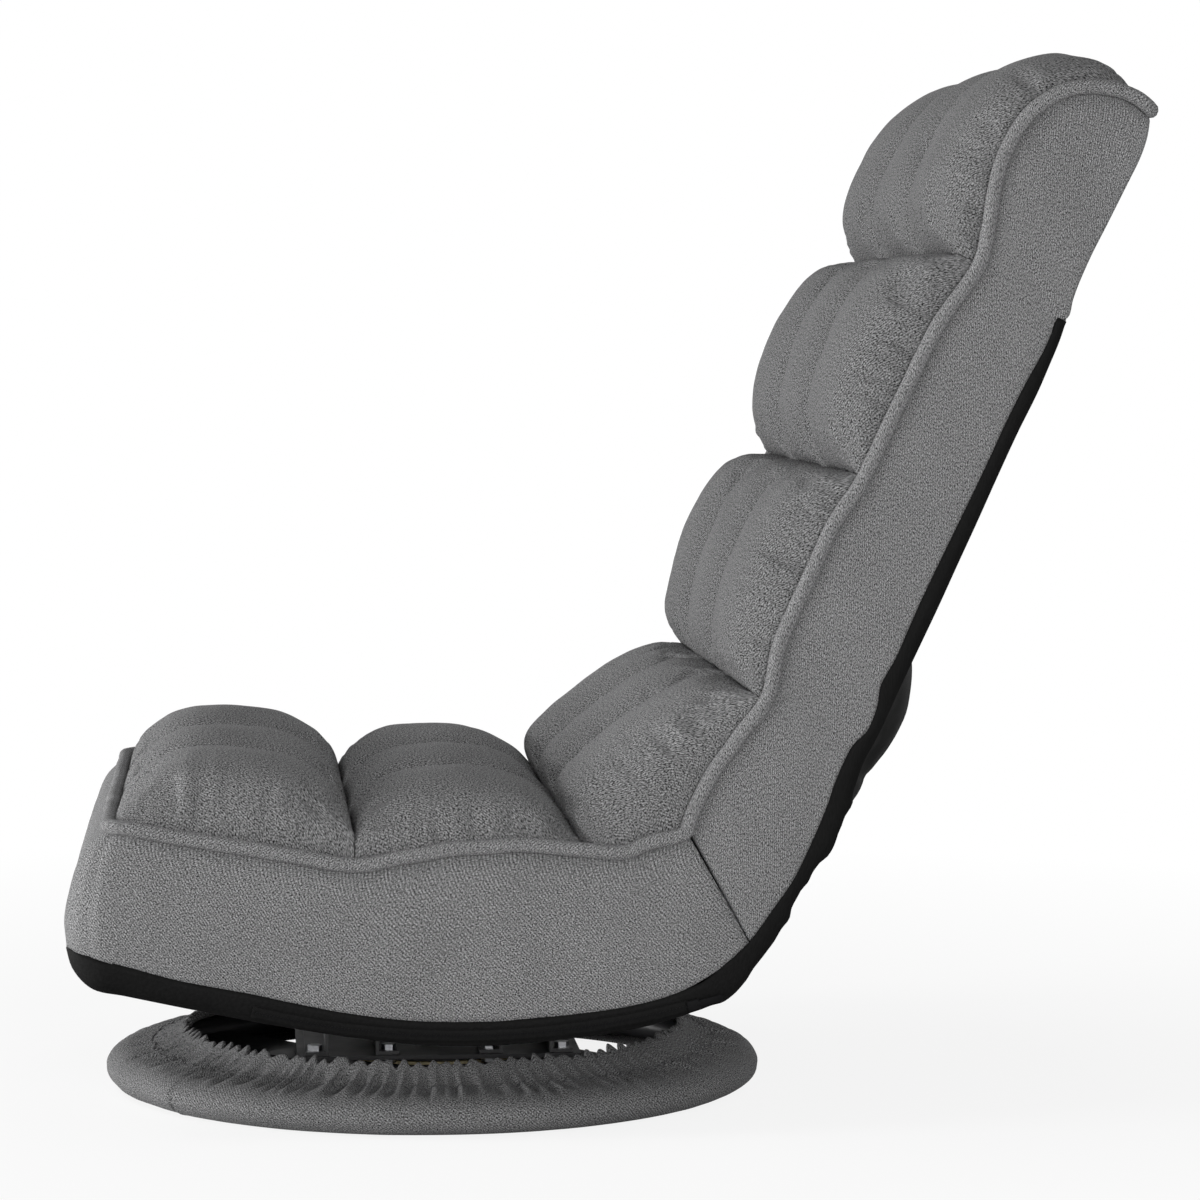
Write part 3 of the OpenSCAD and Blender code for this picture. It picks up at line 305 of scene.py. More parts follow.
padCloth = makeTwill("heatheredTwillPads", 0.97, fibre=0.001, bumpHeight=0.00006)
# Painted shade: the back pads are the same twill as the seat pads, darkened to 0.84 of the tone against 0.97 to stand
# for the shade they lie in
backPadClothPaintedShade = makeTwill("heatheredTwillBackPadsPaintedShade", 0.84, fibre=0.001, bumpHeight=0.00006)
panelCloth = makeTwill("heatheredTwillPanels", 1.10)
pipeCloth = makeTwill("heatheredTwillPiping", 1.12)
ringCloth = makeTwill("heatheredTwillRing", 0.88)
liningCloth = makeLining("blackLining")
strapCloth = makeLining("wovenStrap", 0.045)
tapeCloth = makeLining("zipTape", 0.004)
threadFinish = makeHard("stitchThread", (0.05, 0.05, 0.052), 0.0, 0.75)
hardFinishes = {
    "frame_black": makeHard("powderCoatBlack", (0.028, 0.028, 0.030), 0.0, 0.42, 120, 0.00006),
    "zinc_plate": makeHard("zincPlate", (0.56, 0.57, 0.59), 1.0, 0.38, 40, 0.00003, 0.08, (1, 8, 1)),
    "fasteners": makeHard("zincFasteners", (0.50, 0.51, 0.53), 1.0, 0.32, 60, 0.00002, 0.06),
    "ball_steel": makeHard("polishedBalls", (0.70, 0.71, 0.73), 1.0, 0.12, 60, 0.000005, 0.02),
    "cage_plastic": makeHard("cagePlastic", (0.70, 0.60, 0.36), 0.0, 0.45, 50, 0.00002, 0.05),
    "hinge_steel": makeHard("stampedSteel", (0.30, 0.31, 0.33), 1.0, 0.40, 60, 0.00003, 0.10, (1, 1, 7)),
    "zip_metal": makeHard("zipMetal", (0.004, 0.004, 0.0045), 0.0, 0.7, 60, 0.00002, gloss=0.08),
    "elastic": makeHard("coveredElastic", (0.66, 0.66, 0.66), 0.0, 0.8, 90, 0.0001),
}
slotOfNode = {row["node"]: row["material_slot"] for row in frame["record"]["subparts"]}
for nodeName, piece in frame["nodes"].items():
    finish = hardFinishes.get(slotOfNode.get(nodeName))
    if nodeName in ("swivel_lower_plate", "swivel_upper_plate"):
        finish = hardFinishes["frame_black"]
    if finish:
        piece.data.materials.clear()
        piece.data.materials.append(finish)
print("finishes made")

# Tufted pads, three to a row
padRows = {
    # crest: share of the way along the deck, height above it in mm
    "frontSeatPads": {"replaces": "front_seat_pads", "body": "seat", "along": 58,
                      "crest": [(0, 30), (.03, 45), (.11, 60), (.24, 73), (.4, 77), (.56, 75), (.74, 69),
                                (.87, 58), (.945, 46), (.98, 35), (1, 22)]},
    "rearSeatPads": {"replaces": "rear_seat_pads", "body": "seat", "along": 58,
                     "crest": [(0, 20), (.02, 33), (.06, 43), (.2, 56), (.36, 61), (.5, 61), (.67, 55),
                               (.8, 44), (.87, 34), (.94, 20), (1, 2)]},
    "crookPads": {"replaces": "crook_pads", "body": None, "along": 58, "ruck": 0.8,
                  "crest": [(0, 2), (.02, 22), (.07, 42), (.15, 51), (.3, 51), (.45, 48.5), (.6, 44),
                            (.75, 37), (.87, 28), (.94, 19), (.98, 11), (1, 3)]},
    "lumbarPads": {"replaces": "lumbar_pads", "body": "backrest", "along": 58,
                   "crest": [(0, 3), (.02, 15), (.08, 29), (.2, 38), (.4, 45), (.6, 47), (.78, 44),
                             (.9, 35), (.96, 23), (1, 4)]},
    "middlePads": {"replaces": "middle_pads", "body": "backrest", "along": 58,
                   "crest": [(0, 3), (.02, 13), (.08, 28), (.24, 43), (.45, 49), (.6, 49.5), (.78, 44),
                             (.9, 33), (.96, 21), (1, 3)]},
    "headPads": {"replaces": "head_pads", "body": "backrest", "along": 62,
                 "crest": [(0, 3), (.02, 12), (.06, 25), (.135, 36), (.25, 40), (.36, 40), (.46, 38),
                           (.54, 34), (.62, 30), (.72, 28), (.83, 25), (.92, 20), (.97, 13), (1, 6)]},
}
# Roll is the rounded edge at each side, flat the share between the rolls, column the width of a pad
padCut = {"across": 156, "roll": 27, "flat": 0.78, "column": 169, "seam": 84.8, "seamDepth": 0.24, "underPipe": 4.5}
# Heights of the tucks at the creases, the seams, the sides and the tufts, and of the slow dents
rucking = {"crease": 3.4, "seam": 2.4, "side": 4.2, "fan": 3.2, "dent": 1.8, "smallDent": 0.7,
           "cut": 0.4, "laid": 0.8}      # shares before and after the filling
puffing = {"pressure": 1.6, "slack": 0.06, "cap": 8, "frames": 20}

faceOut = Vector((-cos(chair["lean"]), sin(chair["lean"])))
upward = Vector((0, 1))


# Deck line and outward normals of each row in the side view
def deckOf(name):
    deck, rear = chair["deck"] + 0.3, chair["backDeck"]
    if name == "frontSeatPads":
        return [(-236, deck), (-67.2, deck)], [upward, upward]
    if name == "rearSeatPads":
        return [(-66.8, deck), (104, deck)], [upward, upward]
    if name == "crookPads":
        start, end = Vector((106, deck)), backPoint(153.85, rear)
        along = (end - start).normalized()
        return [start, end], [Vector((-along[1], along[0]))]*2
    if name == "lumbarPads":
        return [backPoint(154.2, rear), backPoint(326.8, rear)], [faceOut, faceOut]
    if name == "middlePads":
        return [backPoint(327.2, rear), backPoint(498.8, rear)], [faceOut, faceOut]
    # the head row runs straight up, then round the top
    points = [backPoint(499.2 + 25*i, rear) for i in range(4)]
    normals = [faceOut]*4
    for i in range(10):
        a = radians(180 - 116*i/9)
        points.append(backPoint(599 + 48.8*sin(a), -9 + 48.8*cos(a)))
        normals.append(backPoint(sin(a), cos(a)) - backPoint(0, 0))
    return points, normals


# The piping's line in the side view, along the seat and then up the back
sidePipe = [(-235, 230), (-224, 227), (-210, 224), (-193, 220), (-175, 217), (-158, 214), (-140, 211),
            (-123, 208), (-105, 205), (-91, 202), (-81, 200), (-70, 199), (-60, 199), (-48, 201), (-35, 204),
            (-17, 207), (0, 210), (22, 211), (43, 212), (64, 211), (85, 209), (107, 207), (117, 206),
            (128, 207), (139, 212), (149, 215), (162, 218), (169, 221)]
mitre = len(sidePipe) - 1      # where the seat's piping turns up the back
# up the back: distance up from the hinge, and rearwards
sidePipe += [tuple(backPoint(*spot)) for spot in (
    (52, -65.6), (66, -66.3), (82, -65.6), (97, -64.2), (113, -61), (128, -58.4), (142, -54.6), (156, -52.8),
    (170, -54.6), (184, -58.2), (200, -60.5), (217, -61), (234, -61), (259, -61.4), (283, -61.2), (302, -59.1),
    (319, -56.2), (335, -55.3), (350, -55), (369, -54.7), (397, -54.2), (424, -54), (445, -53), (464, -50.1),
    (480, -46.8), (493, -45), (504, -45.3), (516, -47.6), (529, -50.8), (542, -55), (555, -58.2), (569, -60.2),
    (583, -60.8), (597, -59.4), (611, -55.6), (623, -49.4), (633, -42.5), (641, -32.6), (647.5, -20.3),
    (651, -6), (651, 9.8), (648.5, 20.5))]
pipeLine = curveThrough(sidePipe)


# How far the piping lies above the deck line, along the deck's normal
def tuckHeight(p, n):
    best = min((pipeLine(i/240) for i in range(241)),
               key=lambda q: abs((q - p).cross(n)) + (0 if (q - p).length < 60 else 500))
    return (best - p).dot(n)


# Share of the way along a row at grid step b, closer together near the creases
def spread(b):
    return 0.5 - 0.5*cos(pi*b)*(0.80 + 0.20*cos(pi*b)**2)


def makePadRow(name, row):
    points, normals = deckOf(name)
    deck = curveThrough(points)
    if len(points) == 2:
        out = lambda t: normals[0]
    else:
        fan = curveThrough([(n[0], n[1]) for n in normals], deck.marks)
        out = lambda t: fan(t).normalized()
    half, roll, flat, wide = chair["padHalf"], padCut["roll"], padCut["flat"], padCut["column"]
    across, along = padCut["across"], row["along"]
    crest = curveThrough([(h, 0) for u, h in row["crest"]], [u for u, h in row["crest"]])
    startEdge, endEdge = row["crest"][0][1], row["crest"][-1][1]
    shares = [spread(j/along) for j in range(along + 1)]
    tuckAt = [tuckHeight(deck(u), out(u)) - padCut["underPipe"] for u in shares]
    number = list(padRows).index(name)
    seed = 37*(1 + number)
    rucks = []

    def place(a, b):
        v = 2*a - 1
        if abs(v) < flat:
            y = v/flat*(half - roll)
            side = 1.0
        else:
            turn = (abs(v) - flat)/(1 - flat)
            y = (half - roll + roll*sin(turn*pi/2))*(1 if v > 0 else -1)
            side = cos(turn*pi/2)**0.8 if turn < 1 else 0.0
        u = spread(b)
        p, n = deck(u), out(u)
        column = min((y + half)/(2*half)*3, 2.9999)
        t = column - int(column)
        cushion = padCut["seamDepth"] + (1 - padCut["seamDepth"])*crown(t, 2.15)
        edge = startEdge + (endEdge - startEdge)*u
        tuck = tuckAt[round(b*along)]
        low = tuck + (edge - tuck)*min(1.0, side*1.6)
        high = (crest(u)[0] - 2.5*crown(u, 3) - edge)*cushion*side
        s = u*deck.length
        fromCrease, fromSeam = min(u, 1 - u)*deck.length, min(t, 1 - t)*wide
        nearCrease = exp(-fromCrease/14)
        nearSeam = exp(-fromSeam/11)*side
        nearSide = exp(-(half - abs(y))/19)
        # short tucks square to each seam, fans at the tufts, and soft dents
        tucks = rucking["crease"]*nearCrease*side*ripple(y + seed, seed, 0, 7)
        tucks += rucking["seam"]*nearSeam*ripple(s + seed, seed, 5, 8)
        tucks += rucking["side"]*nearSide*crown(u, 4)*ripple(s + seed, seed, 9, 7)*min(1, 3*side + 0.1)
        fanAngle = atan2(s - (0 if u < 0.5 else deck.length), fromSeam + 0.5)
        reach = sqrt(fromCrease**2 + fromSeam**2)
        tucks += rucking["fan"]*exp(-((reach - 24)/20)**2)*ripple(fanAngle*9, seed, y/60, 1.0)*side
        tucks *= row.get("ruck", 1)
        dents = rucking["dent"]*ripple(y + seed, s, 3, 46) + rucking["smallDent"]*ripple(y, s + seed, 7, 19)
        rucks.append(Vector((n[0], 0, n[1]))*tucks*rucking["laid"]*mm)
        lift = low + high + tucks*rucking["cut"] + dents*side*crown(u, 3)
        shift = 1.2*nearCrease*ripple(y, seed, 21, 12)
        q = p + n*max(lift, min(tuck, 0.8)) + Vector((n[1], -n[0]))*shift
        return Vector((q[0], y + 1.0*nearSeam*ripple(s, seed, 31, 14), q[1]))

    bm = layGrid(across, along, place, (0.37*number, 0.11))
    spotOf = {tuple(vert.co): k for k, vert in enumerate(bm.verts)}
    made = bmesh.ops.extrude_face_region(bm, geom=bm.faces[:])
    for vert in made["geom"]:          # the copy becomes the flat underside on the deck
        if isinstance(vert, bmesh.types.BMVert):
            j = spotOf[tuple(vert.co)]//(across + 1)
            foot = deck(shares[j]) - out(shares[j])*max(0.2, 0.8 - tuckAt[j])
            vert.co.x, vert.co.z = foot[0]*mm, foot[1]*mm
    bmesh.ops.recalc_face_normals(bm, faces=bm.faces[:])
    # the back rows take the copy of the twill darkened with painted shade
    cloth = backPadClothPaintedShade if row["body"] == "backrest" else padCloth
    piece = addPiece(name, bm, cloth)
    # the underside is held, and so is the cover near its edges, creases and seams
    hold = piece.vertex_groups.new(name="hold")
    for k, vert in enumerate(piece.data.vertices):
        weight = 1.0
        i, j = k % (across + 1), k//(across + 1)
        seam = abs(abs(vert.co.y/mm) - padCut["seam"])
        if j <= along and min(i, across - i, j, along - j) > 0 and seam >= 3.0:
            fromCrease = deck.length*min(shares[j] - shares[0], shares[-1] - shares[j])
            weight = max(0.0, 1 - fromCrease/13, 0.8 - seam/11, 0.7 - (across - abs(2*i - across))/10)
        if weight > 0:
            hold.add([k], weight, "REPLACE")
    return piece, rucks


# Fills a pad with pressure, lets its cover ruck up, and keeps it near its cut shape
def puff(piece):
    start = [v.co.copy() for v in piece.data.vertices]
    cloth = piece.modifiers.new("cloth", "CLOTH")
    work = cloth.settings
    work.quality = 5
    work.mass = 0.25
    work.air_damping = 3
    work.tension_stiffness = 10
    work.compression_stiffness = 10
    work.shear_stiffness = 4
    work.bending_stiffness = 0.25
    work.vertex_group_mass = "hold"
    work.pin_stiffness = 1.0
    work.use_pressure = True
    work.uniform_pressure_force = puffing["pressure"]
    work.shrink_min = -puffing["slack"]
    work.shrink_max = -puffing["slack"]
    work.effector_weights.gravity = 0
    cloth.collision_settings.use_collision = False
    for number in range(1, puffing["frames"] + 1):
        scene.frame_set(number)
    shaped = piece.evaluated_get(bpy.context.evaluated_depsgraph_get())
    moved = [v.co.copy() for v in shaped.data.vertices]
    piece.modifiers.remove(cloth)
    cap = puffing["cap"]*mm
    for vert, before, after in zip(piece.data.vertices, start, moved):
        way = after - before
        vert.co = before + way/(1 + way.length/cap)
    scene.frame_set(1)


for name, row in padRows.items():
    pad, rucks = makePadRow(name, row)
    puff(pad)
    for vert, ruck in zip(pad.data.vertices, rucks):      # the cover's tucks lie over the filled shape
        vert.co += ruck
    finer = pad.modifiers.new("finer", "SUBSURF")
    finer.levels = finer.render_levels = 1
    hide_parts(row["replaces"])
    if row["body"]:
        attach(pad, row["body"])
    else:
        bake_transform(pad)
    print("pads made:", name)

# Piping round the seat and the back, sizes in mm
piping = {"radius": 5.4, "y": 259.3, "front": 13, "step": 4.0, "sides": 12}


# A round tube along a closed or open line of points in mm, with its own UV map
def layTube(points, radius, sides, closed, wave=0.0):
    line = curveThrough(points + [points[0]] if closed else points)
    count = max(8, int(line.length/piping["step"]))
    spots = [line(i/count) for i in range(count + 1)]
    if closed:
        spots[-1] = spots[0]
    frames = []
    side = None
    for i in range(count + 1):
        before = i - 1 if i else (count - 1 if closed else 0)
        after = i + 1 if i < count else (1 if closed else count)
        ahead = (spots[after] - spots[before]).normalized()
        if side is None:
            side = ahead.cross(Vector((0, 0, 1))).normalized()
        side = (side - ahead*side.dot(ahead)).normalized()
        frames.append((side.copy(), ahead.cross(side).normalized(), ahead))
    slip = 0.0
    if closed:
        first, last = frames[0], frames[-1]
        slip = atan2(last[0].dot(first[1]), last[0].dot(first[0]))

    def place(a, b):
        i = round(b*count)
        one, two, _ = frames[i]
        turn = 2*pi*a - slip*b
        p = spots[i]
        swell = radius*(1 + 0.05*ripple(p[0], p[1], p[2], 9))
        drift = Vector((ripple(p[0], p[1], p[2], 33), ripple(p[1], p[2], p[0] + 50, 33),
                        ripple(p[2], p[0], p[1] + 90, 33)))*wave
        return p + drift + (one*cos(turn) + two*sin(turn))*swell
    bm = layGrid(sides, count, place)
    bmesh.ops.remove_doubles(bm, verts=bm.verts[:], dist=0.02*mm)
    if not closed:
        bmesh.ops.holes_fill(bm, edges=[e for e in bm.edges if e.is_boundary], sides=0)
    bmesh.ops.recalc_face_normals(bm, faces=bm.faces[:])
    return bm


def pipingLoop():
    r, y = piping["front"], piping["y"]
    x0, z0 = -240.5, 227.5
    near = [Vector((x, -y, z)) for x, z in sidePipe[1:]]
    far = [Vector((p[0], y, p[2])) for p in near]
    topX, topZ = sidePipe[-1]
    topEdge = [Vector((topX, across, topZ)) for across in range(-240, 241, 40)]
    corner = [Vector((x0 + r*(1 - sin(radians(a))), -y + r*(1 - cos(radians(a))), z0))
              for a in (10, 35, 60, 85)]
    front = [Vector((x0, across, z0 - 1.2*cos(across/38))) for across in range(225, -226, -30)]
    mirrored = [Vector((p[0], -p[1], p[2])) for p in corner]
    return near + topEdge + far[::-1] + mirrored + front + corner[::-1]


seamPipe = addPiece("seatAndBackPiping", layTube(pipingLoop(), piping["radius"], piping["sides"], True, 1.1),
                    pipeCloth)
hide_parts("seat_piping", "crook_piping", "back_piping")
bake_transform(seamPipe)
print("piping made")

# Grey boxing round the seat
boxing = {
    # side view, from the top seam to the band
    "front": [(-241, 227), (-256.5, 212), (-267, 184), (-271.5, 160), (-270.5, 140)],
    "top": [(x, z - 1.5) for x, z in sidePipe[1:mitre + 1]],
    "band": [(-237, 131), (-215, 125), (-187, 118), (-141, 109), (-115, 103), (-67, 93), (-40, 89.5),
             (-14, 87.5), (30, 87), (60, 89), (90, 91.5), (120, 95), (160, 105), (190, 121), (213, 141)],
    "cornerTop": 14, "cornerLow": 34, "bulge": 2.8, "pipeGroove": 8.5,
    "sideSteps": 84, "cornerSteps": 12, "frontSteps": 92, "down": 26,
}


# Height of the grey and black seam at the front, at a place along the seat
def seamHeight(x):
    line = [(-272, 140), (-266, 139), (-255, 136.5), (-246, 134), (-238, 131.5), (-228, 129)]
    if x <= line[0][0]:
        return line[0][1]
    for a, b in zip(line, line[1:]):
        if a[0] <= x <= b[0]:
            return a[1] + (b[1] - a[1])*(x - a[0])/(b[0] - a[0])
    return line[-1][1]


def makeBoxing():
    frontLine = curveThrough(boxing["front"])
    topLine = curveThrough(boxing["top"])
    bandLine = curveThrough(boxing["band"])
    sideSteps, cornerSteps, frontSteps = boxing["sideSteps"], boxing["cornerSteps"], boxing["frontSteps"]
    total = 2*sideSteps + 2*cornerSteps + frontSteps
    edge = chair["halfWidth"] - 0.4

    def outline(v):
        p = frontLine(v)
        out = -241 - p[0]
        r = boxing["cornerTop"] + (boxing["cornerLow"] - boxing["cornerTop"])*min(1, max(0, out/33))
        return p, r

    def place(a, v):
        k = a*total
        p, r = outline(v)
        y0 = edge - boxing["pipeGroove"]*exp(-v*13) - 0.5*exp(-(1 - v)*12) + boxing["bulge"]*sin(pi*v)**0.8*0.6
        mirror = -1
        if k > total/2:
            k, mirror = total - k, 1
        if k <= sideSteps:          # along the side, from the mitre seam to the corner
            t = 1 - k/sideSteps
            q = topLine(t).lerp(bandLine(t), v)
            corner = Vector((p[0] + r, p[1] - v*v*(140 - seamHeight(p[0] + r))))
            q += (corner - topLine(0).lerp(bandLine(0), v))*(1 - step(0, 0.22, t))
            y = y0
            outY, outX = 1.0, 0.0
        elif k <= sideSteps + cornerSteps:
            angle = (k - sideSteps)/cornerSteps*pi/2
            q = Vector((p[0] + r - r*sin(angle), p[1]))
            y = y0 - r*(1 - cos(angle))
            outY, outX = cos(angle), -sin(angle)
        else:
            t = (k - sideSteps - cornerSteps)/(frontSteps/2)
            q = Vector((p[0], p[1]))
            y = (y0 - r)*(1 - t)
            outY, outX = 0.0, -1.0
        if k > sideSteps:          # the band's seam drops a little round the corner
            q[1] -= v*v*(140 - seamHeight(q[0]))
        free = sin(pi*v)**0.6 if 0 < v < 1 else 0
        wave = free*(1.5*ripple(q[0], mirror*y, 0, 42) + 0.8*ripple(q[0], mirror*y, q[1], 20))
        wave += 1.5*exp(-v*9)*min(1, v*12)*ripple(q[0], mirror*y, 40, 9)
        cornerAt = abs(k - sideSteps - cornerSteps*0.32)
        wave -= 2.0*exp(-(cornerAt/0.6)**2)
        if k <= sideSteps:
            y -= 1.0*exp(-k/0.6)      # the mitre seam
        return Vector((q[0] + outX*wave, mirror*(y + outY*wave), q[1]))

    bm = layGrid(total, boxing["down"], place, (0.2, 0.7))
    faceAwayFrom(bm, lambda c: Vector((0, 0, 0.15)))
    return addPiece("seatBoxing", bm, panelCloth)


# Gives an open sheet its thickness in metres
def giveWall(piece, thickness, offset=-1.0):
    wall = piece.modifiers.new("wall", "SOLIDIFY")
    wall.thickness = thickness
    wall.offset = offset
    return wall


panelThick = 0.0015
seatBoxing = makeBoxing()
giveWall(seatBoxing, panelThick)
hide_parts("seat_panels", "seat_foam")
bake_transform(seatBoxing)
print("seat boxing made")

# Black lining under the seat, round the fold and up the back
# Up the back: distance up, rear edge, and the seam where the grey starts
backEdge = [(139, 31.5, 16.6), (151, 31.5, 17.6), (163, 32, 22.2), (174, 32, 22.6), (186, 32, 20.9),
            (197, 32, 17.6), (208, 32, 18.2), (220, 32, 19.2), (240, 32.2, 18.8), (266, 32.4, 18.4),
            (300, 32.2, 18.9), (333, 32.2, 19.6), (370, 31.8, 20.1), (403, 31.8, 20.1), (433, 32.6, 21),
            (459, 31.8, 23), (474, 31, 23), (487, 29.4, 21.8)]
backLine = [tuple(backPoint(s, d)) for s, d, _ in backEdge]
lining = {
    # side view: the lower edge at the sides, the seam with the grey, and the line along the middle
    "edge": [(-270.5, 139.5), (-266, 126), (-252, 113), (-230, 108), (-187, 98.5), (-141, 89), (-88, 79),
             (-35, 71.5), (0, 69), (35, 69), (85, 73), (135, 80), (179, 93), (198, 100), (222, 129),
             (240, 157), (256, 186), (275, 212), (284, 236), (287.5, 250)] + backLine,
    "seam": [(-270.5, 140.3), (-265, 139.4), (-246, 134.6), (-228, 129.6), (-187, 118), (-141, 109), (-88, 97),
             (-35, 89), (0, 87), (35, 87), (85, 91), (135, 98), (178, 112), (196, 126), (213, 141), (229, 163),
             (245, 186), (259, 215), (269, 239), (274, 254)] + [tuple(backPoint(s, d)) for s, _, d in backEdge],
    "middle": [(-270.5, 139.5), (-266, 125), (-252, 111.5), (-230, 106), (-187, 97), (-141, 88), (-88, 78),
               (-35, 70.6), (0, 68.2), (35, 68.4), (85, 72), (135, 77.5), (180, 79), (201, 80), (220, 103), (239, 130),
               (256, 160), (277, 194), (297, 226), (311, 243), (321, 255), (331, 270), (339, 284), (344, 300),
               (347, 318), (347, 333), (345, 343), (346, 352)] + backLine[8:],
    "across": 112, "along": 300, "round": 9.0, "front": 31, "slack": 6.0, "smallSlack": 3.0, "thick": 0.0010,
}


def makeLiningCover():
    edgeLine = curveThrough(lining["edge"])
    seamLine = curveThrough(lining["seam"], edgeLine.marks)
    middleLine = curveThrough(lining["middle"], edgeLine.marks)
    half = chair["halfWidth"] - 0.8

    def place(a, b):
        e, s, m = edgeLine(b), seamLine(b), middleLine(b)
        across = 2*a - 1
        h = abs(across)
        x = e[0]
        wide = half
        if b < 0.15 and x < -240:
            wide = half - lining["front"] + sqrt(max(0.0, lining["front"]**2 - (x + 240)**2))
        depth = (e - s).length
        rounding = min(lining["round"], depth*0.9)
        if h > 0.93:          # the band on the side
            t = (1 - h)/0.07
            q = s.lerp(e, min(1, t*(1 - rounding/(depth + 0.01)*0.35)))
            y = wide
            if t > 0.6:
                y = wide - rounding*0.28*((t - 0.6)/0.4)**2
        else:
            t = h/0.93
            q = m.lerp(e, step(0.56, 0.95, t))
            y = wide*t
            if t >= 0.9:
                last = (t - 0.9)/0.1
                y = wide*(0.9 + 0.1*(1 - (1 - last)**1.35)) - rounding*0.28*last
        ahead = (edgeLine(min(1, b + 0.004)) - edgeLine(max(0, b - 0.004))).normalized()
        out = Vector((ahead[1], -ahead[0]))
        loose = step(0.42, 0.47, b)*(1 - step(0.64, 0.72, b))
        inner = 1 - step(0.86, 0.98, h)
        run = b*edgeLine.length
        sign = 1 if across > 0 else -1
        creases = lining["slack"]*ripple(run, sign*y/2.4, 4, 26) + lining["smallSlack"]*ripple(run, sign*y/1.6, 8, 11)
        wave = inner*(0.9*ripple(x, sign*y, 0, 60) + loose*creases)
        q = q + out*wave*(1 if b > 0.4 else 0.4)
        return Vector((q[0], sign*y, q[1]))

    bm = layGrid(lining["across"], lining["along"], place, (0.1, 0.3))
    inner = [v for v in bm.verts if not v.is_boundary]
    bmesh.ops.smooth_vert(bm, verts=inner, factor=0.4, use_axis_x=True, use_axis_y=True, use_axis_z=True)
    faceAwayFrom(bm, lambda c: Vector((0, 0, 0.15)) if c.x < 0.2 else Vector((0.15 + c.z*0.3, 0, c.z + 0.05)))
    return addPiece("blackLining", bm, liningCloth)


liningCover = makeLiningCover()
giveWall(liningCover, lining["thick"])
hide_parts("seat_lining", "hinge_gaiter", "back_lining", "back_lining_fold")
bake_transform(liningCover)
print("lining made")

# Grey side panels of the back
sidePanel = {
    "rear": [(213.5, 141.5), (222, 153), (229, 163), (245, 186), (259, 215), (269, 239), (274, 254)]
            + [tuple(backPoint(s, d)) for s, _, d in backEdge[:-1]]
            + [tuple(backPoint(s, d)) for s, d in (
                (485, 22), (490, 29), (503, 26.9), (516, 25.8), (538, 25.5), (560, 26.4), (579, 27), (597, 27.6),
                (613, 28), (627, 26.8), (640, 24))],
    "inside": 1.5, "pipeGroove": 8.5, "mitreGroove": 1.6, "across": 30, "along": 190,
}


def makeBackSide(name, sign):
    under = []
    for i in range(mitre, len(sidePipe)):      # the panel's upper edge lies just inside the piping
        a, b = Vector(sidePipe[i - 1]), Vector(sidePipe[min(i + 1, len(sidePipe) - 1)])
        ahead = (b - a).normalized()
        under.append(Vector(sidePipe[i]) + Vector((ahead[1], -ahead[0]))*sidePanel["inside"])
    topLine, rear = curveThrough(under), curveThrough(sidePanel["rear"])
    wideAt = lambda b: (topLine(b) - rear(b)).length

    def place(a, b):
        q = topLine(b).lerp(rear(b), a)
        free = sin(pi*a)**0.6 if 0 < a < 1 else 0
        y = chair["halfWidth"] - 1.2*exp(-(1 - a)*22) - sidePanel["pipeGroove"]*exp(-a*wideAt(b)/9)
        y += free*(1.5*ripple(q[0], q[1], 3*sign, 44) + 0.8*ripple(q[0], q[1], 7*sign, 20))*min(1, b*14)
        y += 1.3*exp(-a*9)*min(1, a*12)*ripple(b*900, 5*sign, 40, 9)
        y -= sidePanel["mitreGroove"]*exp(-b*sidePanel["along"]/0.7)
        return Vector((q[0], sign*y, q[1]))

    bm = layGrid(sidePanel["across"], sidePanel["along"], place, (0.6 + 0.3*sign, 0.15))
    faceAwayFrom(bm, lambda c: Vector((c.x, 0, c.z)))
    return addPiece(name, bm, panelCloth)


for name, sign in (("backSideNear", -1), ("backSideFar", 1)):
    side = makeBackSide(name, sign)
    giveWall(side, panelThick)
    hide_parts("back_panels", "crook_panels", "back_foam")
    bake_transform(side)


# Grey panel behind the head: distance up the back, and rearwards
headPanel = {
    "line": [(487, 30.4), (503, 27), (516, 26), (538, 25.6), (560, 26.5), (579, 27), (597, 27.6), (613, 28),
             (627, 26.8), (645, 23)],
    "halfWidth": 258.6, "across": 110, "along": 40,
}


def makeHeadRear():
    low, high = headPanel["line"][0][0], headPanel["line"][-1][0]
    depthLine = curveThrough([(d, 0) for s, d in headPanel["line"]], [s - low for s, d in headPanel["line"]])

    def place(a, b):
        s = low + b*(high - low)
        d = depthLine(b)[0] + 0.6
        v = 2*a - 1
        y = headPanel["halfWidth"]*v
        turn = max(0.0, (abs(v) - 0.965)/0.035)
        d -= 9*turn**2
        free = (1 - turn)*sin(pi*min(0.999, max(0.001, b)))**0.5
        d += free*(1.2*ripple(y, s, 5, 55) + 0.6*ripple(y, s, 9, 22))
        d += 1.4*exp(-b*12)*min(1, b*20)*ripple(y, 0, 33, 9)
        q = backPoint(s, d)
        return Vector((q[0], y, q[1]))
    bm = layGrid(headPanel["across"], headPanel["along"], place, (0.9, 0.4))
    faceAwayFrom(bm, lambda c: Vector((c.x - 0.05, c.y, c.z)))
    return addPiece("headRearPanel", bm, panelCloth)


headRear = makeHeadRear()
giveWall(headRear, panelThick)
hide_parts("head_rear_panel")
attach(headRear, "backrest")
print("back panels made")

# Padded ring with its gathered hem
ring = {"radius": 226, "centre": 15.2, "halfWide": 24, "halfHigh": 15.2, "steps": 900, "ruffles": 108,
        "gather": 4.6, "lapAt": -143, "cloth": 0.0014}
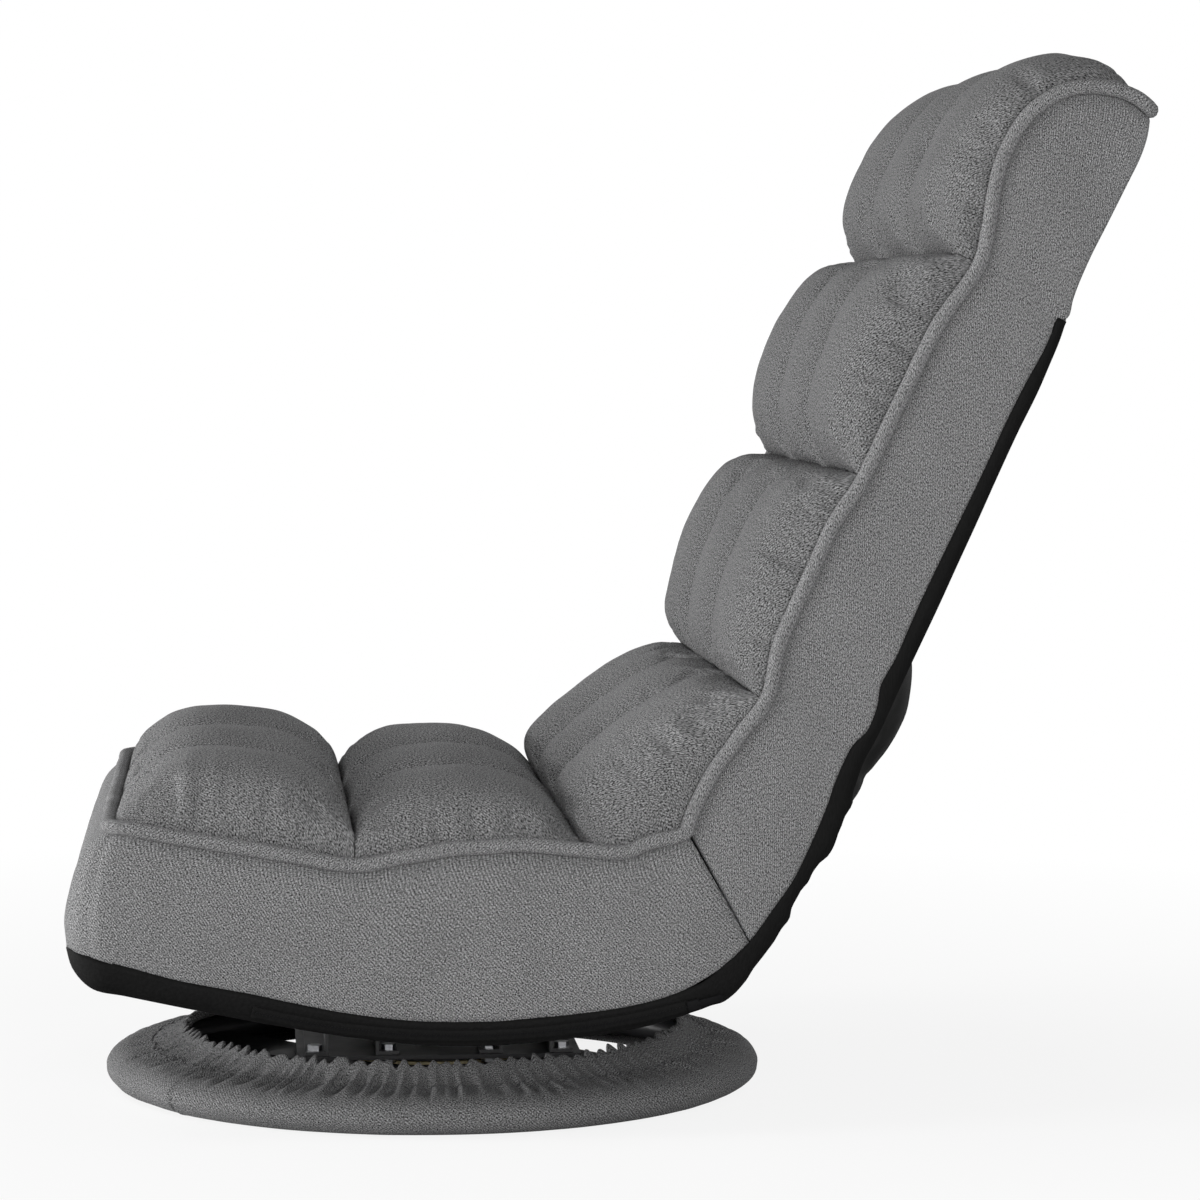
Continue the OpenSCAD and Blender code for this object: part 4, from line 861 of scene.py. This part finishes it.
# Outwards and upwards from the tube's middle: flat underside, then the slope up to the elastic's channel
ringUnder = [(-14.9, -14.6), (-4, -14.7), (5.8, -14.6)]
ringSlope = [(-5, 15.9), (-10, 17.0), (-15, 18.4), (-19.5, 20.2), (-23.5, 22.2), (-27, 24.2), (-30, 26.2),
             (-32.5, 28.4), (-34.4, 30.2), (-36.2, 30.4), (-37.2, 28.6), (-37.4, 26), (-36.8, 23.4)]


def makeRingCover():
    w, h = ring["halfWide"], ring["halfHigh"]
    section = ringUnder + [(w*cos(radians(a)), max(-14.6, h*sin(radians(a)))) for a in range(-66, 91, 8)] + ringSlope
    hemStart = len(section) - len(ringSlope)
    bm = bmesh.new()
    verts = [bm.verts.new(((ring["radius"] + x)*mm, 0, (ring["centre"] + z)*mm)) for x, z in section]
    edges = [bm.edges.new((a, b)) for a, b in zip(verts, verts[1:])]
    bmesh.ops.spin(bm, geom=verts + edges, cent=(0, 0, 0), axis=(0, 0, 1), angle=2*pi,
                   steps=ring["steps"], use_merge=True)
    bmesh.ops.remove_doubles(bm, verts=bm.verts[:], dist=0.01*mm)
    weave = bm.loops.layers.uv.new("weave")
    lengths = [0.0]
    for a, b in zip(section, section[1:]):
        lengths.append(lengths[-1] + ((a[0] - b[0])**2 + (a[1] - b[1])**2)**0.5)
    rowOf = {}
    for vert in bm.verts:
        r = vert.co.xy.length/mm - ring["radius"]
        z = vert.co.z/mm - ring["centre"]
        rowOf[vert] = min(range(len(section)), key=lambda i: (section[i][0] - r)**2 + (section[i][1] - z)**2)
    around = 2*pi*ring["radius"]
    for face in bm.faces:
        angles = [atan2(v.co.y, v.co.x) % (2*pi) for v in face.verts]
        wraps = max(angles) - min(angles) > pi
        for loop, angle in zip(face.loops, angles):
            if wraps and angle < pi:
                angle += 2*pi
            loop[weave].uv = (angle/(2*pi)*around*mm, lengths[rowOf[loop.vert]]*mm + 0.5)
    for vert in bm.verts:
        angle = atan2(vert.co.y, vert.co.x)
        along = angle/(2*pi)*around
        level = rowOf[vert]
        pull = step(hemStart - 9, len(section) - 6, level)
        beat = 0.75*sin(ring["ruffles"]*angle + 6.0*ripple(along, 0, 0, 40))
        beat += 1.5*ripple(along, level*0.9, 50.5, 7)
        strength = 0.72 + 0.9*abs(ripple(along, 9, 0.5, 24))
        lift = pull**1.4*strength*beat*ring["gather"]
        lift *= 1 - 0.45*step(len(section) - 6, len(section) - 1, level)
        cx, cz = (vert.co.xy.length/mm - ring["radius"]), vert.co.z/mm - ring["centre"]
        reach = max(8.0, (cx*cx + cz*cz)**0.5)
        free = step(2, 6, level)
        body = free*(1.0*ripple(along, level*2.2, 3, 48) + 0.5*ripple(along, level*2.2, 13, 19))
        body += 2.4*step(hemStart - 11, hemStart + 3, level)*ripple(along + level*1.2, level*0.7, 23, 12)
        fromLap = (angle - radians(ring["lapAt"]))*ring["radius"] + 2.2*ripple(level*3.0, 0, 0, 20)
        body += free*(1.0*exp(-((fromLap - 3.4)/2.4)**2) - 3.0*exp(-(fromLap/1.3)**2))
        grow = lift + body*(1 - pull)
        scale = 1 + grow/reach
        r = ring["radius"] + cx*scale
        z = max(ring["centre"] + cz*scale, 0.35)
        vert.co = Vector((r*cos(angle), r*sin(angle), z))*mm
    line = sorted((v for v in bm.verts if rowOf[v] == hemStart + 1), key=lambda v: atan2(v.co.y, v.co.x))
    channel = [v.co.copy() for v in line]      # where the elastic is stitched in
    faceAwayFrom(bm, lambda c: Vector((*(c.xy.normalized()*ring["radius"]*mm), ring["centre"]*mm)))
    return addPiece("ringCover", bm, ringCloth), channel


ringCover, channelLine = makeRingCover()
giveWall(ringCover, ring["cloth"])
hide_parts("base_ring_cover", "base_ring_foam", "base_hem_elastic")
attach(ringCover, "base")
print("ring cover made")

# Stitching round the elastic's channel
stitch = {"thread": 0.8, "every": 3, "lift": 0.35}


def makeStitching(line):
    bm = bmesh.new()
    for i in range(0, len(line) - 2, stitch["every"]):
        ends = [line[i], line[i + 2]]
        ahead = ends[1] - ends[0]
        made = bmesh.ops.create_cube(bm, size=1)
        turn = ahead.to_track_quat("X", "Z")
        thick = stitch["thread"]*mm
        for vert in made["verts"]:
            local = Vector((vert.co.x*ahead.length*0.95, vert.co.y*thick, vert.co.z*thick))
            vert.co = turn @ local + (ends[0] + ends[1])/2 + Vector((0, 0, stitch["lift"]*mm))
    return addPiece("ringStitching", bm, threadFinish, smooth=False)


stitching = makeStitching(channelLine)
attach(stitching, "base")

# Zip along the near side: the band there is an arc, with its lowest point at the zip's middle
zipper = {"middle": 15, "length": 310, "pitch": 2.4, "tape": 9, "tooth": (1.3, 0.7, 1.6),
          "bandLow": 68, "bandArc": 640, "bandIn": 9}


# Middle of the band on the near side, and its slope
def bandMiddle(x):
    drop = sqrt((zipper["bandArc"] - zipper["bandIn"])**2 - (x - zipper["middle"])**2)
    return zipper["bandLow"] + zipper["bandArc"] - drop, atan2(x - zipper["middle"], drop)


# A small box lying along the band at x, its size and its place from there in mm
def layBox(bm, x, y, size, spot=(0, 0, 0)):
    z, slope = bandMiddle(x)
    for vert in bmesh.ops.create_cube(bm, size=1)["verts"]:
        cx, cz = vert.co.x*size[0] + spot[0], vert.co.z*size[2] + spot[2]
        vert.co = Vector((x + cx*cos(slope) - cz*sin(slope), y + vert.co.y*size[1] + spot[1],
                          z + cz*cos(slope) + cx*sin(slope)))*mm


def makeZip():
    def place(a, b):
        x = zipper["middle"] - zipper["length"]/2 + a*zipper["length"]
        z, slope = bandMiddle(x)
        off = (b - 0.5)*zipper["tape"]
        return Vector((x - off*sin(slope), -262.3 - 0.35*sin(pi*b), z + off*cos(slope)))
    bm = layGrid(90, 5, place)
    faceAwayFrom(bm, lambda c: Vector((c.x, 0, c.z)))
    tape = addPiece("zipTape", bm, tapeCloth)
    giveWall(tape, 0.0005)
    teeth = bmesh.new()
    for i in range(int(zipper["length"]/zipper["pitch"])):
        x = zipper["middle"] - zipper["length"]/2 + (i + 0.5)*zipper["pitch"]
        layBox(teeth, x, -262.9, zipper["tooth"])
    coil = addPiece("zipTeeth", teeth, hardFinishes["zip_metal"], smooth=False)
    return tape, coil


zipTape, zipTeeth = makeZip()
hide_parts("seat_zip")
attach(zipTape, "seat")
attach(zipTeeth, "seat")


def makeSlider():
    bm = bmesh.new()
    x = zipper["middle"] + zipper["length"]/2 + 3
    # body, bridge and pull
    for size, spot in (((9, 2.4, 7), (0, 0, 0)), ((4, 1.6, 3), (4, -0.48, 0)), ((17, 1.1, 4.6), (13, -0.4, 0))):
        layBox(bm, x, -263.3, size, spot)
    bmesh.ops.bevel(bm, geom=bm.edges[:], offset=0.5*mm, segments=2, profile=0.5, affect="EDGES", material=-1)
    return addPiece("zipSlider", bm, hardFinishes["zip_metal"])


slider = makeSlider()
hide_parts("zip_slider")
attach(slider, "seat")

# Webbing straps inside
straps = {"wide": 50, "thick": 2, "half": 214.5}


def makeStraps(name, spots, body, node):
    bm = bmesh.new()
    for (x, z), ahead in spots:
        made = bmesh.ops.create_grid(bm, x_segments=24, y_segments=6, size=0.5)
        out = Vector((-ahead[1], ahead[0]))
        for vert in made["verts"]:
            y, s = vert.co.x*2*straps["half"], vert.co.y*straps["wide"]
            sag = -0.05*(1 - (2*vert.co.x)**2)
            vert.co = Vector((x + ahead[0]*s + out[0]*sag, y, z + ahead[1]*s + out[1]*sag))*mm
    weave = bm.loops.layers.uv.new("weave")
    for face in bm.faces:
        for loop in face.loops:
            loop[weave].uv = (loop.vert.co.y, loop.vert.co.x + loop.vert.co.z)
    bm.normal_update()
    piece = addPiece(name, bm, strapCloth)
    giveWall(piece, straps["thick"]*mm, 0.0)
    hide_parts(node)
    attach(piece, body)
    return piece


seatSpots, backSpots = [], []
for x in (-190, -125, 0, 112):      # on the seat rails' arc, 400 mm in radius
    t = (x + 14)/400
    rise = sqrt(1 - t*t)
    seatSpots.append(((x - t*11.4, 84 + 400*(1 - rise) + rise*11.4), Vector((rise, t))))
for s in (200, 280, 430, 510):
    backSpots.append((tuple(backPoint(s, -10.6)), Vector((sin(chair["lean"]), cos(chair["lean"])))))
makeStraps("seatStraps", seatSpots, "seat", "seat_webbing")
makeStraps("backStraps", backSpots, "backrest", "back_webbing")
print("zip, stitching and straps made")

# Camera, light and floor
view = {"place": (-0.1465, -3.1819, 0.5725), "down": 0.0636, "turn": 0.0864, "lens": 124.91}
cameraData = bpy.data.cameras.new("camera")
cameraData.lens = view["lens"]
cameraData.sensor_width = 36
camera = bpy.data.objects.new("camera", cameraData)
camera.location = view["place"]
camera.rotation_euler = (pi/2 - view["down"], 0, -view["turn"])
scene.collection.objects.link(camera)
scene.camera = camera

lamps = {
    "key": {"place": (-3.3, 0.3, 0.4), "size": 1.0, "power": 92},
    "low": {"place": (-1.6, -0.9, 0.25), "size": 0.8, "power": 8},
    "side": {"place": (0.5, -3.3, 0.8), "size": 1.2, "power": 50},
    "above": {"place": (-2.0, -0.9, 2.8), "size": 1.2, "power": 30},
    "behind": {"place": (1.7, 2.5, 1.9), "size": 1.8, "power": 10},
}
for name, lamp in lamps.items():
    light = bpy.data.lights.new(name, "AREA")
    light.shape = "SQUARE"
    light.size = lamp["size"]
    light.energy = lamp["power"]
    holder = bpy.data.objects.new(name, light)
    holder.location = lamp["place"]
    aim = Vector((0.05, 0, 0.35)) - Vector(lamp["place"])
    holder.rotation_euler = aim.to_track_quat("-Z", "Y").to_euler()
    scene.collection.objects.link(holder)

studio = {"air": 0.20, "background": 1.0, "floorSize": 6, "floorTone": 0.90, "floorRough": 0.9,
          "floorNear": 0.5, "floorFar": 1.5, "whiteNear": 0.86}


# Shows one shader or the other, by the share
def mixShaders(nodes, links, share, one, other, output):
    mix = nodes.new("ShaderNodeMixShader")
    links.new(share, mix.inputs["Fac"])
    links.new(one.outputs[0], mix.inputs[1])
    links.new(other.outputs[0], mix.inputs[2])
    links.new(mix.outputs[0], nodes[output].inputs["Surface"])


world = bpy.data.worlds.new("studio")
scene.world = world
world.use_nodes = True
wNodes, wLinks = world.node_tree.nodes, world.node_tree.links
air = wNodes["Background"]
air.inputs["Color"].default_value = (1, 1, 1, 1)
air.inputs["Strength"].default_value = studio["air"]
white = wNodes.new("ShaderNodeBackground")
white.inputs["Color"].default_value = (1, 1, 1, 1)
white.inputs["Strength"].default_value = studio["background"]
rays = wNodes.new("ShaderNodeLightPath").outputs
seen = combine(wNodes, wLinks, "MAXIMUM", rays["Is Camera Ray"], rays["Is Glossy Ray"])
seen = combine(wNodes, wLinks, "MAXIMUM", seen, rays["Is Transmission Ray"])
mixShaders(wNodes, wLinks, seen, air, white, "World Output")

floorBm = bmesh.new()
bmesh.ops.create_grid(floorBm, x_segments=1, y_segments=1, size=studio["floorSize"])
floorFinish, fNodes, fLinks, fShader = newMaterial("palePaper")
fShader.inputs["Base Color"].default_value = (*[studio["floorTone"]]*3, 1)
fShader.inputs["Roughness"].default_value = studio["floorRough"]
paper = fNodes.new("ShaderNodeEmission")
paper.inputs["Strength"].default_value = studio["background"]
fRays = fNodes.new("ShaderNodeLightPath")
fSpot = fNodes.new("ShaderNodeTexCoord")
fFar = fNodes.new("ShaderNodeVectorMath")
fFar.operation = "LENGTH"
fLinks.new(fSpot.outputs["Object"], fFar.inputs[0])
fade = remap(fNodes, fLinks, fFar.outputs["Value"], studio["floorNear"], studio["floorFar"],
             studio["whiteNear"], 1.0)      # plain white away from the chair
share = combine(fNodes, fLinks, "MULTIPLY", fRays.outputs["Is Camera Ray"], fade)
mixShaders(fNodes, fLinks, share, fShader, paper, "Material Output")
floorMesh = bpy.data.meshes.new("floor")
floorBm.to_mesh(floorMesh)
floorBm.free()
floorMesh.materials.append(floorFinish)
floor = bpy.data.objects.new("floor", floorMesh)
scene.collection.objects.link(floor)

scene.view_settings.view_transform = "Standard"
print("studio made")
